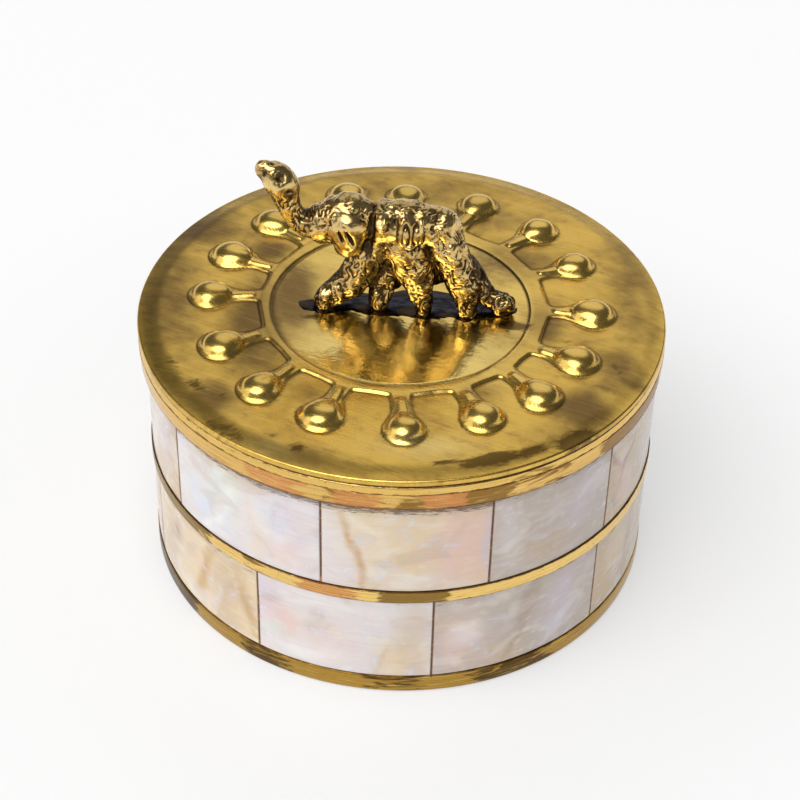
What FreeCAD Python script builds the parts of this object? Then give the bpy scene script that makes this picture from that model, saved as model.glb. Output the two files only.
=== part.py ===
"""Round brass box faced with two courses of mother-of-pearl tiles, with a lift-off lid that
carries a cast elephant as its knob. Millimetres, +Z up, origin at the centre of the underside."""
import FreeCAD
import Part
import Sketcher

import math
import os
from FreeCAD import Placement, Rotation, Vector

doc = FreeCAD.newDocument("PaanBox")
sheet = doc.addObject("Spreadsheet::Sheet", "Sizes")

SIZES = {
    # Brass wall and bottom
    "wall_radius": 57.0,
    "wall_thickness": 0.8,
    "base_thickness": 0.9,
    "solder_gap": 0.03,
    # Heights of the rings and tile courses, from the bottom up
    "foot_band_height": 4.9,
    "lower_course_height": 23.3,
    "mid_band_height": 3.2,
    "upper_course_height": 24.5,
    "rim_band_height": 4.3,
    "mouth_ring_height": 1.9,
    # Shell tiles in their bed of lac
    "bed_thickness": 0.35,
    "tile_thickness": 1.6,
    "glue_gap": 0.05,
    "tile_end_gap": 0.12,
    "tile_joint_width": 0.3,
    "joint_recess": 0.12,
    # How far each ring stands out past the face of the tiles
    "foot_band_proud": 0.2,
    "mid_band_proud": 0.3,
    "rim_band_proud": 1.6,
    "mouth_ring_proud": 1.1,
    "foot_band_rounding": 0.6,
    "rim_band_rounding": 0.35,
    # Lid sheet and its turned-down edge
    "lid_proud": 1.2,
    "lid_sheet": 0.9,
    "lid_edge_height": 2.7,
    "lid_shoulder": 0.7,
    "lid_seat_gap": 0.1,
    # Collar under the lid, a loose fit in the mouth of the wall
    "collar_clearance": 0.3,
    "collar_thickness": 0.7,
    "collar_depth": 4.6,
    # Raised work on the lid: a ring, and drops on stems round it
    "ring_radius": 32.3,
    "ring_half_width": 1.4,
    "ring_rise": 0.75,
    "boss_circle_radius": 44.4,
    "boss_radius": 4.9,
    "boss_rise": 3.0,
    "stem_half_width": 1.3,
    "stem_rise": 0.9,
    "stem_overlap": 0.9,
    # Cast elephant and the solder under its feet
    "figure_length": 57.6,
    "solder_thickness": 0.25,
    "solder_margin": 1.2,
}
BOSS_COUNT = 16

# Where the joints between tiles stand, in degrees round the box from +X
UPPER_JOINT_ANGLES = [213.4, 253.7, 289.7, 321.2, 357.0, 392.5, 429.0, 463.5, 501.0, 536.5]
LOWER_JOINT_ANGLES = [198.6, 238.4, 277.9, 319.4, 358.5, 398.5, 438.0, 478.5, 518.0]

# Each height above the underside, as a sum of the named sizes below it
LOWER_START = "Sizes.foot_band_height"
MID_START = LOWER_START + " + Sizes.lower_course_height"
UPPER_START = MID_START + " + Sizes.mid_band_height"
RIM_START = UPPER_START + " + Sizes.upper_course_height"
MOUTH_START = RIM_START + " + Sizes.rim_band_height"
WALL_TOP = MOUTH_START + " + Sizes.mouth_ring_height"
LID_START = WALL_TOP + " + Sizes.lid_seat_gap"
LID_UNDERSIDE = LID_START + " + Sizes.lid_edge_height - Sizes.lid_sheet"
LID_TOP = LID_START + " + Sizes.lid_edge_height"

# Radii that more than one piece shares
WALL_INSIDE = "Sizes.wall_radius - Sizes.wall_thickness"
RING_INSIDE = "Sizes.wall_radius + Sizes.solder_gap"
BED_FACE = "Sizes.wall_radius + Sizes.bed_thickness"
TILE_INSIDE = BED_FACE + " + Sizes.glue_gap"
TILE_FACE = TILE_INSIDE + " + Sizes.tile_thickness"
LID_RADIUS = TILE_FACE + " + Sizes.lid_proud"
COLLAR_OUTSIDE = WALL_INSIDE + " - Sizes.collar_clearance"

# Half the angle, in degrees, that a joint takes up at the back of the tiles, without and with its glue
HALF_RIB_ANGLE = f"Sizes.tile_joint_width / 2 / ({BED_FACE}) * 180 / pi"
HALF_JOINT_ANGLE = f"(Sizes.tile_joint_width / 2 + Sizes.glue_gap) / ({BED_FACE}) * 180 / pi"


def fill_sheet():
    """Writes every size to the sheet as a plain number under its own alias."""
    for row, (alias, value) in enumerate(SIZES.items(), start=1):
        sheet.set(f"A{row}", alias)
        sheet.set(f"B{row}", str(value))
        sheet.setAlias(f"B{row}", alias)
    doc.recompute()


def size(expression):
    """The present value of a sum of named sizes, for the shapes that are made from points."""
    return float(FreeCAD.Units.Quantity(sheet.evalExpression(expression.replace("Sizes.", ""))).Value)


def origin_feature(body, role):
    return next(f for f in body.Origin.OriginFeatures if f.Role == role)


def new_body(label):
    body = doc.addObject("PartDesign::Body", label)
    body.Label = label
    return body


def new_sketch(body, name, role, across="0", up="0", out="0"):
    """A sketch on one of the body's own origin planes, shifted in that plane and along its normal."""
    sketch = body.newObject("Sketcher::SketchObject", name)
    sketch.AttachmentSupport = [(origin_feature(body, role), "")]
    sketch.MapMode = "FlatFace"
    for axis, shift in zip("xyz", (across, up, out)):
        if shift != "0":
            sketch.setExpression(f"AttachmentOffset.Base.{axis}", shift)
    return sketch


def outline(sketch, points):
    """A closed outline of straight lines through rough points, joined end to end."""
    lines = [
        sketch.addGeometry(Part.LineSegment(Vector(*a, 0), Vector(*b, 0)), False)
        for a, b in zip(points, points[1:] + points[:1])
    ]
    for line, following in zip(lines, lines[1:] + lines[:1]):
        sketch.addConstraint(Sketcher.Constraint("Coincident", line, 2, following, 1))
    return lines


def bind(sketch, kind, first, expression, second=None):
    """A distance along X or Y, between two points or from the sketch's origin, bound to the sheet."""
    start = (-1, 1) if second is None else second
    value = size(expression)
    number = sketch.addConstraint(Sketcher.Constraint(kind, *start, *first, value))
    sketch.setExpression(f"Constraints[{number}]", expression)


def rectangle(sketch, inner, outer, height):
    """A rectangle standing on the sketch's X axis, between two distances from its Y axis."""
    near, far, tall = size(inner), size(outer), size(height)
    foot, outside, roof, inside = outline(sketch, [(near, 0), (far, 0), (far, tall), (near, tall)])
    for line in (foot, roof):
        sketch.addConstraint(Sketcher.Constraint("Horizontal", line))
    for line in (outside, inside):
        sketch.addConstraint(Sketcher.Constraint("Vertical", line))
    sketch.addConstraint(Sketcher.Constraint("PointOnObject", foot, 1, -1))
    bind(sketch, "DistanceX", (foot, 1), inner)
    bind(sketch, "DistanceX", (foot, 2), outer)
    bind(sketch, "DistanceY", (outside, 2), height, (outside, 1))


def revolve(body, name, sketch, angle="360", axis=None, cut=False):
    """Turns a sketch about the body's Z axis, or about the sketch's own Y axis when axis is given."""
    kind = "PartDesign::Groove" if cut else "PartDesign::Revolution"
    feature = body.newObject(kind, name)
    feature.Profile = sketch
    feature.ReferenceAxis = (sketch, ["V_Axis"]) if axis else (origin_feature(body, "Z_Axis"), [""])
    feature.setExpression("Angle", angle)
    sketch.Visibility = False
    doc.recompute()
    return feature


def ring(label, inner, outer, start, height):
    """A plain ring about the box's axis: a rectangle turned once round."""
    body = new_body(label)
    sketch = new_sketch(body, label + "_section", "XZ_Plane", up=start)
    rectangle(sketch, inner, outer, height)
    revolve(body, label + "_turned", sketch)
    return body


def round_edges(body, radius, heights, rounding):
    """Fillets the circles of one radius that lie at the given heights."""
    base = body.Tip
    names = []
    for number, edge in enumerate(base.Shape.Edges, start=1):
        if not isinstance(edge.Curve, Part.Circle):
            continue
        centre = edge.Curve.Center
        at_height = any(math.isclose(centre.z, z, abs_tol=1e-4) for z in heights)
        if at_height and math.isclose(edge.Curve.Radius, radius, abs_tol=1e-4):
            names.append(f"Edge{number}")
    fillet = body.newObject("PartDesign::Fillet", body.Label + "_rounded")
    fillet.Base = (base, names)
    fillet.setExpression("Radius", rounding)
    doc.recompute()
    return fillet


# The brass pot: a flat disc for a bottom and a rolled sheet for a wall, soldered on top of it.
def make_pot():
    body = new_body("base_disc")
    sketch = new_sketch(body, "base_circle", "XY_Plane")
    circle = sketch.addGeometry(Part.Circle(Vector(0, 0, 0), Vector(0, 0, 1), size("Sizes.wall_radius")), False)
    sketch.addConstraint(Sketcher.Constraint("Coincident", circle, 3, -1, 1))
    number = sketch.addConstraint(Sketcher.Constraint("Radius", circle, size("Sizes.wall_radius")))
    sketch.setExpression(f"Constraints[{number}]", "Sizes.wall_radius")
    pad = body.newObject("PartDesign::Pad", "base_pad")
    pad.Profile = sketch
    pad.setExpression("Length", "Sizes.base_thickness")
    wall_height = f"{WALL_TOP} - Sizes.base_thickness"
    wall = ring("wall_liner", WALL_INSIDE, "Sizes.wall_radius", "Sizes.base_thickness", wall_height)
    return [body, wall]


# Brass rings round the wall. They hold the tile courses apart, and the top two finish the mouth.
def make_bands():
    foot = ring("foot_band", RING_INSIDE, f"{TILE_FACE} + Sizes.foot_band_proud", "0", "Sizes.foot_band_height")
    foot_radius = size(f"{TILE_FACE} + Sizes.foot_band_proud")
    round_edges(foot, foot_radius, [0, size("Sizes.foot_band_height")], "Sizes.foot_band_rounding")
    mid = ring("mid_band", RING_INSIDE, f"{TILE_FACE} + Sizes.mid_band_proud", MID_START, "Sizes.mid_band_height")
    rim = ring("rim_band", RING_INSIDE, f"{TILE_FACE} + Sizes.rim_band_proud", RIM_START, "Sizes.rim_band_height")
    rim_radius = size(f"{TILE_FACE} + Sizes.rim_band_proud")
    round_edges(rim, rim_radius, [size(RIM_START), size(MOUTH_START)], "Sizes.rim_band_rounding")
    mouth_outside = f"{TILE_FACE} + Sizes.mouth_ring_proud"
    mouth = ring("mouth_ring", RING_INSIDE, mouth_outside, MOUTH_START, "Sizes.mouth_ring_height")
    return [foot, mid, rim, mouth]


# One course of shell tiles, each a curved slab between two joints.
def make_tiles(course, joint_angles, start, height):
    tiles = []
    tile_height = f"{height} - 2 * Sizes.tile_end_gap"
    closing_angle = joint_angles[0] + 360
    for number, (left, right) in enumerate(zip(joint_angles, joint_angles[1:] + [closing_angle]), start=1):
        tile = new_body(f"{course}_tile_{number:02d}")
        sketch = new_sketch(tile, tile.Label + "_section", "XZ_Plane", up=f"{start} + Sizes.tile_end_gap")
        rectangle(sketch, TILE_INSIDE, TILE_FACE, tile_height)
        revolve(tile, tile.Label + "_turned", sketch, f"{right - left} - 2 * {HALF_JOINT_ANGLE}")
        tile.Placement = Placement(Vector(), Rotation(Vector(0, 0, 1), left))
        tile.setExpression("Placement.Rotation.Angle", f"{left} + {HALF_JOINT_ANGLE}")
        tiles.append(tile)
    return tiles


# The lac that a course is bedded in: a thin coat on the wall, with a rib in every joint.
def make_bed(course, joint_angles, start, height):
    bed = ring(f"{course}_lac_bed", RING_INSIDE, BED_FACE, start, height)
    for number, angle in enumerate(joint_angles, start=1):
        sketch = new_sketch(bed, f"{course}_rib_section_{number:02d}", "XZ_Plane", up=start)
        sketch.AttachmentOffset = Placement(Vector(), Rotation(Vector(0, 1, 0), angle))
        sketch.setExpression("AttachmentOffset.Rotation.Angle", f"{angle} - {HALF_RIB_ANGLE}")
        rectangle(sketch, RING_INSIDE, f"{TILE_FACE} - Sizes.joint_recess", height)
        revolve(bed, f"{course}_rib_{number:02d}", sketch, f"2 * {HALF_RIB_ANGLE}")
    return bed


def raised_section(sketch, half_width, rise, whole):
    """The section of a raised bead: an arc over its chord, or one half of that up to its middle."""
    wide, high = size(half_width), size(rise)
    radius = (wide ** 2 + high ** 2) / (2 * high)
    spread = math.asin(wide / radius)
    circle = Part.Circle(Vector(0, high - radius, 0), Vector(0, 0, 1), radius)
    last = math.pi / 2 + spread if whole else math.pi / 2
    arc = sketch.addGeometry(Part.ArcOfCircle(circle, math.pi / 2 - spread, last), False)
    left = -wide if whole else 0
    chord = sketch.addGeometry(Part.LineSegment(Vector(left, 0, 0), Vector(wide, 0, 0)), False)
    sketch.addConstraint(Sketcher.Constraint("Coincident", chord, 2, arc, 1))
    sketch.addConstraint(Sketcher.Constraint("PointOnObject", arc, 3, -2))
    sketch.addConstraint(Sketcher.Constraint("PointOnObject", chord, 2, -1))
    bind(sketch, "DistanceX", (chord, 2), half_width)
    if whole:
        sketch.addConstraint(Sketcher.Constraint("Coincident", arc, 2, chord, 1))
        sketch.addConstraint(Sketcher.Constraint("PointOnObject", chord, 1, -1))
        number = sketch.addConstraint(Sketcher.Constraint("Radius", arc, radius))
        bead_radius = f"(({half_width}) ^ 2 + ({rise}) ^ 2) / (2 * ({rise}))"
        sketch.setExpression(f"Constraints[{number}]", bead_radius)
        return
    middle = sketch.addGeometry(Part.LineSegment(Vector(0, high, 0), Vector(0, 0, 0)), False)
    sketch.addConstraint(Sketcher.Constraint("Coincident", arc, 2, middle, 1))
    sketch.addConstraint(Sketcher.Constraint("Coincident", middle, 2, chord, 1))
    sketch.addConstraint(Sketcher.Constraint("Coincident", middle, 2, -1, 1))
    sketch.addConstraint(Sketcher.Constraint("PointOnObject", arc, 2, -2))
    bind(sketch, "DistanceY", (arc, 2), rise)


# The lid: a sheet disc with its edge turned down, worked up from below into a ring with drops on
# stems round it. The underside follows the top, one sheet's thickness below.
def make_lid_disc():
    lid = new_body("lid_disc")
    blank = new_sketch(lid, "lid_blank", "XZ_Plane", up=LID_START)
    solid_disc(blank, LID_RADIUS, "Sizes.lid_edge_height")
    revolve(lid, "lid_blank_turned", blank)
    round_edges(lid, size(LID_RADIUS), [size(LID_TOP)], "Sizes.lid_shoulder")
    hollow = new_sketch(lid, "lid_hollow", "XZ_Plane", up=LID_START)
    solid_disc(hollow, f"{LID_RADIUS} - Sizes.lid_sheet", "Sizes.lid_edge_height - Sizes.lid_sheet")
    revolve(lid, "lid_hollow_turned", hollow, cut=True)

    for level, cut in ((LID_TOP, False), (LID_UNDERSIDE, True)):
        side = "hollow" if cut else "raised"
        bead = new_sketch(lid, f"ring_{side}", "XZ_Plane", across="Sizes.ring_radius", up=level)
        raised_section(bead, "Sizes.ring_half_width", "Sizes.ring_rise", whole=True)
        revolve(lid, f"ring_{side}_turned", bead, cut=cut)

    drops = []
    stem_start = "Sizes.ring_radius"
    stem_end = "Sizes.boss_circle_radius - Sizes.boss_radius + Sizes.stem_overlap"
    for level, cut in ((LID_TOP, False), (LID_UNDERSIDE, True)):
        side = "hollow" if cut else "raised"
        drop = new_sketch(lid, f"drop_{side}", "XZ_Plane", across="Sizes.boss_circle_radius", up=level)
        raised_section(drop, "Sizes.boss_radius", "Sizes.boss_rise", whole=False)
        drops.append(revolve(lid, f"drop_{side}_turned", drop, axis=True, cut=cut))
        stem = new_sketch(lid, f"stem_{side}", "YZ_Plane", up=level, out=stem_start)
        raised_section(stem, "Sizes.stem_half_width", "Sizes.stem_rise", whole=True)
        run = lid.newObject("PartDesign::Pocket" if cut else "PartDesign::Pad", f"stem_{side}_run")
        run.Profile = stem
        run.Reversed = cut
        run.setExpression("Length", f"{stem_end} - ({stem_start})")
        doc.recompute()
        drops.append(run)

    pattern = lid.newObject("PartDesign::PolarPattern", "drops_round_the_ring")
    pattern.Originals = drops
    pattern.Axis = (origin_feature(lid, "Z_Axis"), [""])
    pattern.Angle = 360
    pattern.Occurrences = BOSS_COUNT
    lid.Tip = pattern
    doc.recompute()
    return lid


def solid_disc(sketch, radius, height):
    """Half the section of a disc: a rectangle from the axis out, standing on the sketch's X axis."""
    wide, tall = size(radius), size(height)
    foot, outside, roof, middle = outline(sketch, [(0, 0), (wide, 0), (wide, tall), (0, tall)])
    sketch.addConstraint(Sketcher.Constraint("Coincident", foot, 1, -1, 1))
    for line in (foot, roof):
        sketch.addConstraint(Sketcher.Constraint("Horizontal", line))
    for line in (outside, middle):
        sketch.addConstraint(Sketcher.Constraint("Vertical", line))
    bind(sketch, "DistanceX", (foot, 2), radius)
    bind(sketch, "DistanceY", (outside, 2), height)


# A sheet ring soldered under the lid, which drops inside the wall and keeps the lid centred.
def make_collar():
    collar_start = f"{WALL_TOP} - Sizes.collar_depth"
    collar_height = f"{LID_UNDERSIDE} - ({collar_start})"
    inside = f"{COLLAR_OUTSIDE} - Sizes.collar_thickness"
    return ring("lid_collar", inside, COLLAR_OUTSIDE, collar_start, collar_height)


# The elephant. Every row is in shares of the figure's length, measured from the lid's centre and
# the lid's top: x towards its tail, y away from the viewer, z up, then the radius there.
TRUNK_AND_BODY_SHARES = [
    (0.1250, 0.0052, 0.3524, 0.0833),
    (0.0174, 0.0052, 0.3681, 0.0885),
    (-0.0868, 0.0052, 0.3715, 0.0868),
    (-0.1649, 0.0052, 0.3819, 0.0764),
    (-0.2361, 0.0052, 0.4028, 0.0990),
    (-0.3177, 0.0052, 0.3785, 0.0799),
    (-0.3889, 0.0052, 0.3785, 0.0573),
    (-0.4358, 0.0052, 0.4167, 0.0451),
    (-0.4549, 0.0052, 0.4792, 0.0382),
    (-0.4653, 0.0052, 0.5382, 0.0417),
    (-0.5000, 0.0052, 0.5885, 0.0469),
    (-0.5451, 0.0052, 0.6181, 0.0330),
]
FOREHEAD_SHARES = [
    (-0.2257, 0.0052, 0.4410, 0.0868),
    (-0.3056, 0.0052, 0.4028, 0.0764),
]
FORELEG_STRETCHED_SHARES = [
    (-0.1042, 0.0052, 0.2865, 0.0677),
    (-0.1979, 0.0017, 0.1597, 0.0590),
    (-0.2778, -0.0052, 0.0799, 0.0503),
    (-0.3646, -0.0087, 0.0330, 0.0417),
]
FORELEG_FOLDED_SHARES = [
    (-0.0799, 0.0191, 0.2257, 0.0486),
    (-0.0938, 0.0087, 0.1111, 0.0382),
    (-0.0972, 0.0035, 0.0260, 0.0417),
]
FORELEG_NEAR_SHARES = [
    (-0.0417, -0.0122, 0.2882, 0.0764),
    (0.0174, -0.0174, 0.2083, 0.0660),
    (0.0521, -0.0208, 0.1215, 0.0486),
    (0.0729, -0.0226, 0.0590, 0.0365),
    (0.0764, -0.0243, 0.0174, 0.0330),
]
HIND_LEG_NEAR_SHARES = [
    (0.1389, -0.0087, 0.2882, 0.0764),
    (0.1875, -0.0122, 0.1806, 0.0642),
    (0.2257, -0.0156, 0.0833, 0.0469),
    (0.2396, -0.0174, 0.0243, 0.0399),
]
HIND_LEG_FAR_SHARES = [
    (0.1597, 0.0191, 0.2535, 0.0556),
    (0.2292, 0.0122, 0.1458, 0.0503),
    (0.3056, 0.0017, 0.0660, 0.0382),
    (0.3819, -0.0035, 0.0312, 0.0417),
]
TAIL_SHARES = [
    (0.1771, 0.0052, 0.3854, 0.0226),
    (0.2049, 0.0052, 0.3160, 0.0156),
    (0.2031, 0.0052, 0.2431, 0.0139),
]
LEG_SHARES = [
    FORELEG_STRETCHED_SHARES,
    FORELEG_FOLDED_SHARES,
    FORELEG_NEAR_SHARES,
    HIND_LEG_NEAR_SHARES,
    HIND_LEG_FAR_SHARES,
]
# Ears: the centre of a lens, the radius of its outline and half its thickness
EAR_SHARES = [
    (-0.2083, -0.0677, 0.3924, 0.0920, 0.0260),
    (-0.2083, 0.0781, 0.3924, 0.0920, 0.0260),
]
# The saddle cloth lies over the first balls of the body, from one end to the other, down to its hem
CLOTH_THICKNESS_SHARE = 0.0069
CLOTH_END_SHARES = (-0.1163, 0.1094)
CLOTH_HEM_SHARE = 0.3264
CLOTH_BALLS = 4
# Every second stretch of a limb is a little thicker, so that no two stretches end on one ball
STRETCH_SWELL_SHARE = 1.02


def placed(shares):
    """The first three shares as a point in the box's frame."""
    x, y, z = (share * size("Sizes.figure_length") for share in shares[:3])
    return Vector(x, y, z + size(LID_TOP))


def stretch(start, end, swell):
    """A tapering stretch with round ends: the outline of two balls and their common cone, turned."""
    first, last = (swell * row[3] * size("Sizes.figure_length") for row in (start, end))
    run = placed(end) - placed(start)
    lean = math.asin((first - last) / run.Length)
    bottom, top = Vector(0, 0, -first), Vector(0, 0, run.Length + last)

    def on_ball(radius, height, angle):
        return Vector(radius * math.cos(angle), 0, height + radius * math.sin(angle))

    foot = on_ball(first, 0, lean)
    head = on_ball(last, run.Length, lean)
    edges = [
        Part.Arc(bottom, on_ball(first, 0, (lean - math.pi / 2) / 2), foot),
        Part.LineSegment(foot, head),
        Part.Arc(head, on_ball(last, run.Length, (lean + math.pi / 2) / 2), top),
        Part.LineSegment(top, bottom),
    ]
    profile = Part.Face(Part.Wire([edge.toShape() for edge in edges]))
    solid = profile.revolve(Vector(), Vector(0, 0, 1), 360)
    solid.Placement = Placement(placed(start), Rotation(Vector(0, 0, 1), run))
    return solid


def limb(rows):
    """The stretches between neighbouring rows of a limb."""
    pairs = enumerate(zip(rows, rows[1:]))
    return [stretch(start, end, STRETCH_SWELL_SHARE if index % 2 else 1) for index, (start, end) in pairs]


def ear(shares):
    """A lens standing across the head: the common part of two large balls."""
    outline_radius, half_thickness = (share * size("Sizes.figure_length") for share in shares[3:])
    ball_radius = (outline_radius ** 2 + half_thickness ** 2) / (2 * half_thickness)
    shift = Vector(0, ball_radius - half_thickness, 0)
    near, far = (Part.makeSphere(ball_radius, placed(shares) + way) for way in (shift, shift * -1))
    return near.common(far)


def saddle_cloth():
    """The cloth over the back: the body made thicker, kept between two planes and above its hem."""
    length = size("Sizes.figure_length")
    rows = [(*row[:3], row[3] + CLOTH_THICKNESS_SHARE) for row in TRUNK_AND_BODY_SHARES[:CLOTH_BALLS]]
    covers = limb(rows)
    front, back = CLOTH_END_SHARES
    corner = placed((front, -0.5, CLOTH_HEM_SHARE))
    keep = Part.makeBox((back - front) * length, length, length, corner)
    return covers[0].multiFuse(covers[1:]).common(keep)


def make_elephant():
    solids = limb(TRUNK_AND_BODY_SHARES) + limb(FOREHEAD_SHARES)
    for rows in LEG_SHARES + [TAIL_SHARES]:
        solids += limb(rows)
    solids += [ear(shares) for shares in EAR_SHARES] + [saddle_cloth()]
    figure = solids[0]
    for solid in solids[1:]:
        volume = figure.Volume
        figure = figure.fuse(solid)
        assert figure.Volume > volume, "a stretch was lost from the figure"
    length, solder = size("Sizes.figure_length"), size("Sizes.solder_thickness")
    corner = placed((-1, -1, 0)) + Vector(0, 0, solder)
    figure = figure.common(Part.makeBox(2 * length, 2 * length, length, corner))
    assert len(figure.Solids) == 1, "the figure is not one casting"
    elephant = doc.addObject("Part::Feature", "elephant_knob")
    elephant.Label = "elephant_knob"
    elephant.Shape = figure.Solids[0]
    return elephant


# The pool of soft solder that fixes the feet to the lid, a thin skin wider than each foot.
def make_solder():
    length = size("Sizes.figure_length")
    margin, thickness, lid_top = size("Sizes.solder_margin"), size("Sizes.solder_thickness"), size(LID_TOP)
    feet = [(placed(leg[-1]), leg[-1][3] * length + margin) for leg in LEG_SHARES]
    pools = []
    for centre, radius in feet:
        pools.append(Part.makeCylinder(radius, thickness, Vector(centre.x, centre.y, lid_top)))
    for (start, _), (end, _) in zip(feet, feet[1:]):
        run = Vector(end.x - start.x, end.y - start.y, 0)
        strip = Part.makeBox(run.Length, 2 * margin, thickness, Vector(0, -margin, 0))
        turn = math.degrees(math.atan2(run.y, run.x))
        strip.Placement = Placement(Vector(start.x, start.y, lid_top), Rotation(Vector(0, 0, 1), turn))
        pools.append(strip)
    pool = doc.addObject("Part::Feature", "solder_pool")
    pool.Label = "solder_pool"
    pool.Shape = pools[0].multiFuse(pools[1:]).removeSplitter()
    return pool


fill_sheet()
pieces = make_pot() + make_bands()
courses = (
    ("upper", UPPER_JOINT_ANGLES, UPPER_START, "Sizes.upper_course_height"),
    ("lower", LOWER_JOINT_ANGLES, LOWER_START, "Sizes.lower_course_height"),
)
for course in courses:
    pieces += make_tiles(*course)
    pieces.append(make_bed(*course))
pieces += [make_lid_disc(), make_collar(), make_elephant(), make_solder()]
doc.recompute()

for item in doc.Objects:
    faults = {"Invalid", "Error"} & set(item.State)
    assert not faults, f"{item.Label} failed: {faults}"
os.makedirs("parts", exist_ok=True)
for piece in pieces:
    shape = piece.Shape
    assert not shape.isNull() and shape.isValid(), f"{piece.Label} has no sound shape"
    assert shape.Solids, f"{piece.Label} has no solid"
    shape.exportStep(os.path.join("parts", piece.Label + ".step"))
    print(piece.Label, len(shape.Solids), "solids", round(shape.Volume, 2), "mm3")
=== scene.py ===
import bpy
import numpy as np
from mathutils import Matrix, Vector


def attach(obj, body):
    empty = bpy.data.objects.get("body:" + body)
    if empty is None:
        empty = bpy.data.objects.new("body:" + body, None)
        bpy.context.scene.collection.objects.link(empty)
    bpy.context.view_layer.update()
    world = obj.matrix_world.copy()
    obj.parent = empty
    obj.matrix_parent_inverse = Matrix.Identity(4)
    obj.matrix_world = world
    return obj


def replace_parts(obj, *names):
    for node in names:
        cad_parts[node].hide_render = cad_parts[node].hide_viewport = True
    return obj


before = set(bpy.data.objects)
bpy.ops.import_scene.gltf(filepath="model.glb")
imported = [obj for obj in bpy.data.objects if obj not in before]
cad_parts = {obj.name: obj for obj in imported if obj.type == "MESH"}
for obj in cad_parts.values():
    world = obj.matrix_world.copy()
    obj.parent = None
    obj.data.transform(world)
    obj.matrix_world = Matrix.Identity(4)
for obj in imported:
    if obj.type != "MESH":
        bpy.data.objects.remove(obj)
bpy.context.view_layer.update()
MM = 0.001

# The camera stands in front of the box and looks down on it, 39 degrees above the table, with the
# slight roll of the photograph. Its place and lens were fitted to the lid's drops and the tile joints.
CAMERA_PLACE = (-0.379, -363.48, 332.56)
CAMERA_DOWN, CAMERA_ROLL, CAMERA_LENS = np.radians(39.14), np.radians(1.419), 88.98

ahead = np.array([0, np.cos(CAMERA_DOWN), -np.sin(CAMERA_DOWN)])
level, steep = np.array([1.0, 0, 0]), np.array([0, np.sin(CAMERA_DOWN), np.cos(CAMERA_DOWN)])
right = np.cos(CAMERA_ROLL) * level + np.sin(CAMERA_ROLL) * steep
upward = np.cos(CAMERA_ROLL) * steep - np.sin(CAMERA_ROLL) * level
camera = bpy.data.objects.new("camera", bpy.data.cameras.new("camera"))
camera.data.lens = CAMERA_LENS
camera.data.sensor_width = 36
camera.data.clip_start, camera.data.clip_end = 0.01, 20
axes = Matrix(tuple(map(tuple, (right, upward, -ahead)))).transposed().to_4x4()
camera.matrix_world = Matrix.Translation(Vector(CAMERA_PLACE) * MM) @ axes
bpy.context.scene.collection.objects.link(camera)
bpy.context.scene.camera = camera
bpy.context.scene.view_settings.view_transform = "Standard"


# The table: a pale matt sheet that lies flat round the box and sweeps up all round into a low backdrop.
TABLE_RADIUS, SWEEP_RADIUS, BACKDROP_HEIGHT = 0.95, 0.35, 0.38
TABLE_TONE = (0.97, 0.97, 0.97, 1)
# How far the table lies under the box's foot, in mm, so that the two faces don't coincide
TABLE_GAP = 0.02


def skin(name, points, ends="loop", marks=None):
    """A mesh over a grid of points, rows by columns by 3, whose columns always close into a loop.
    ends says how the rows end: "loop" joins the last row to the first, "tips" takes the first and the
    last row as one point each, and "open" leaves both free. Closed forms are turned to face outwards
    by the sign of the volume they enclose. marks are named values, one or more for each point."""
    rows, columns = points.shape[:2]
    number = np.arange(rows * columns).reshape(rows, columns)
    if ends == "tips":
        number[0], number[-1] = number[0, 0], number[-1, 0]
    below = number if ends == "loop" else number[:-1]
    above = np.roll(number, -1, 0) if ends == "loop" else number[1:]
    faces = np.stack([below, np.roll(below, -1, 1), np.roll(above, -1, 1), above], axis=-1)
    flat = points.reshape(-1, 3)
    if ends != "open":
        a, b, c, d = (flat[faces[..., corner]] for corner in range(4))
        volume = (a * np.cross(b, c)).sum() + (a * np.cross(c, d)).sum()
        if volume < 0:
            faces = faces[..., ::-1]
    used, renumbered = np.unique(number, return_inverse=True)
    place_of = np.zeros(rows * columns, int)
    place_of[number.reshape(-1)] = renumbered.reshape(-1)
    faces = place_of[faces]
    listed = faces.reshape(-1, 4).tolist()
    if ends == "tips":
        first = [list(dict.fromkeys(face)) for face in faces[0].tolist()]
        last = [list(dict.fromkeys(face)) for face in faces[-1].tolist()]
        listed = first + listed[len(first):-len(last)] + last
    mesh = bpy.data.meshes.new(name)
    mesh.from_pydata((flat[used] * MM).tolist(), [], listed)
    for mark, values in (marks or {}).items():
        wide = values.ndim == 3
        layer = mesh.attributes.new(mark, "FLOAT_VECTOR" if wide else "FLOAT", "POINT")
        kept = values.reshape(rows * columns, -1)[used].astype(np.float32)
        layer.data.foreach_set("vector" if wide else "value", kept.reshape(-1))
    mesh.polygons.foreach_set("use_smooth", np.ones(len(mesh.polygons), bool))
    mesh.update()
    made = bpy.data.objects.new(name, mesh)
    bpy.context.scene.collection.objects.link(made)
    return made


def swept_round(section, columns):
    """The section's (radius, height) points carried once round the Z axis: rows follow the section."""
    turn = np.linspace(0, 2 * np.pi, columns, endpoint=False)
    radius, height = section[:, :1], section[:, 1:]
    return np.stack([radius * np.cos(turn), radius * np.sin(turn), height + 0 * turn], axis=-1)


class Signal:
    """A value in a finish that may be used in a Python sum: each operator adds the node that does it."""

    def __init__(self, finish, socket):
        self.finish, self.socket = finish, socket

    def __add__(self, other):
        return self.finish.math("ADD", self, other)

    def __sub__(self, other):
        return self.finish.math("SUBTRACT", self, other)

    def __rsub__(self, other):
        return self.finish.math("SUBTRACT", other, self)

    def __mul__(self, other):
        return self.finish.math("MULTIPLY", self, other)

    __radd__, __rmul__ = __add__, __mul__


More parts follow.
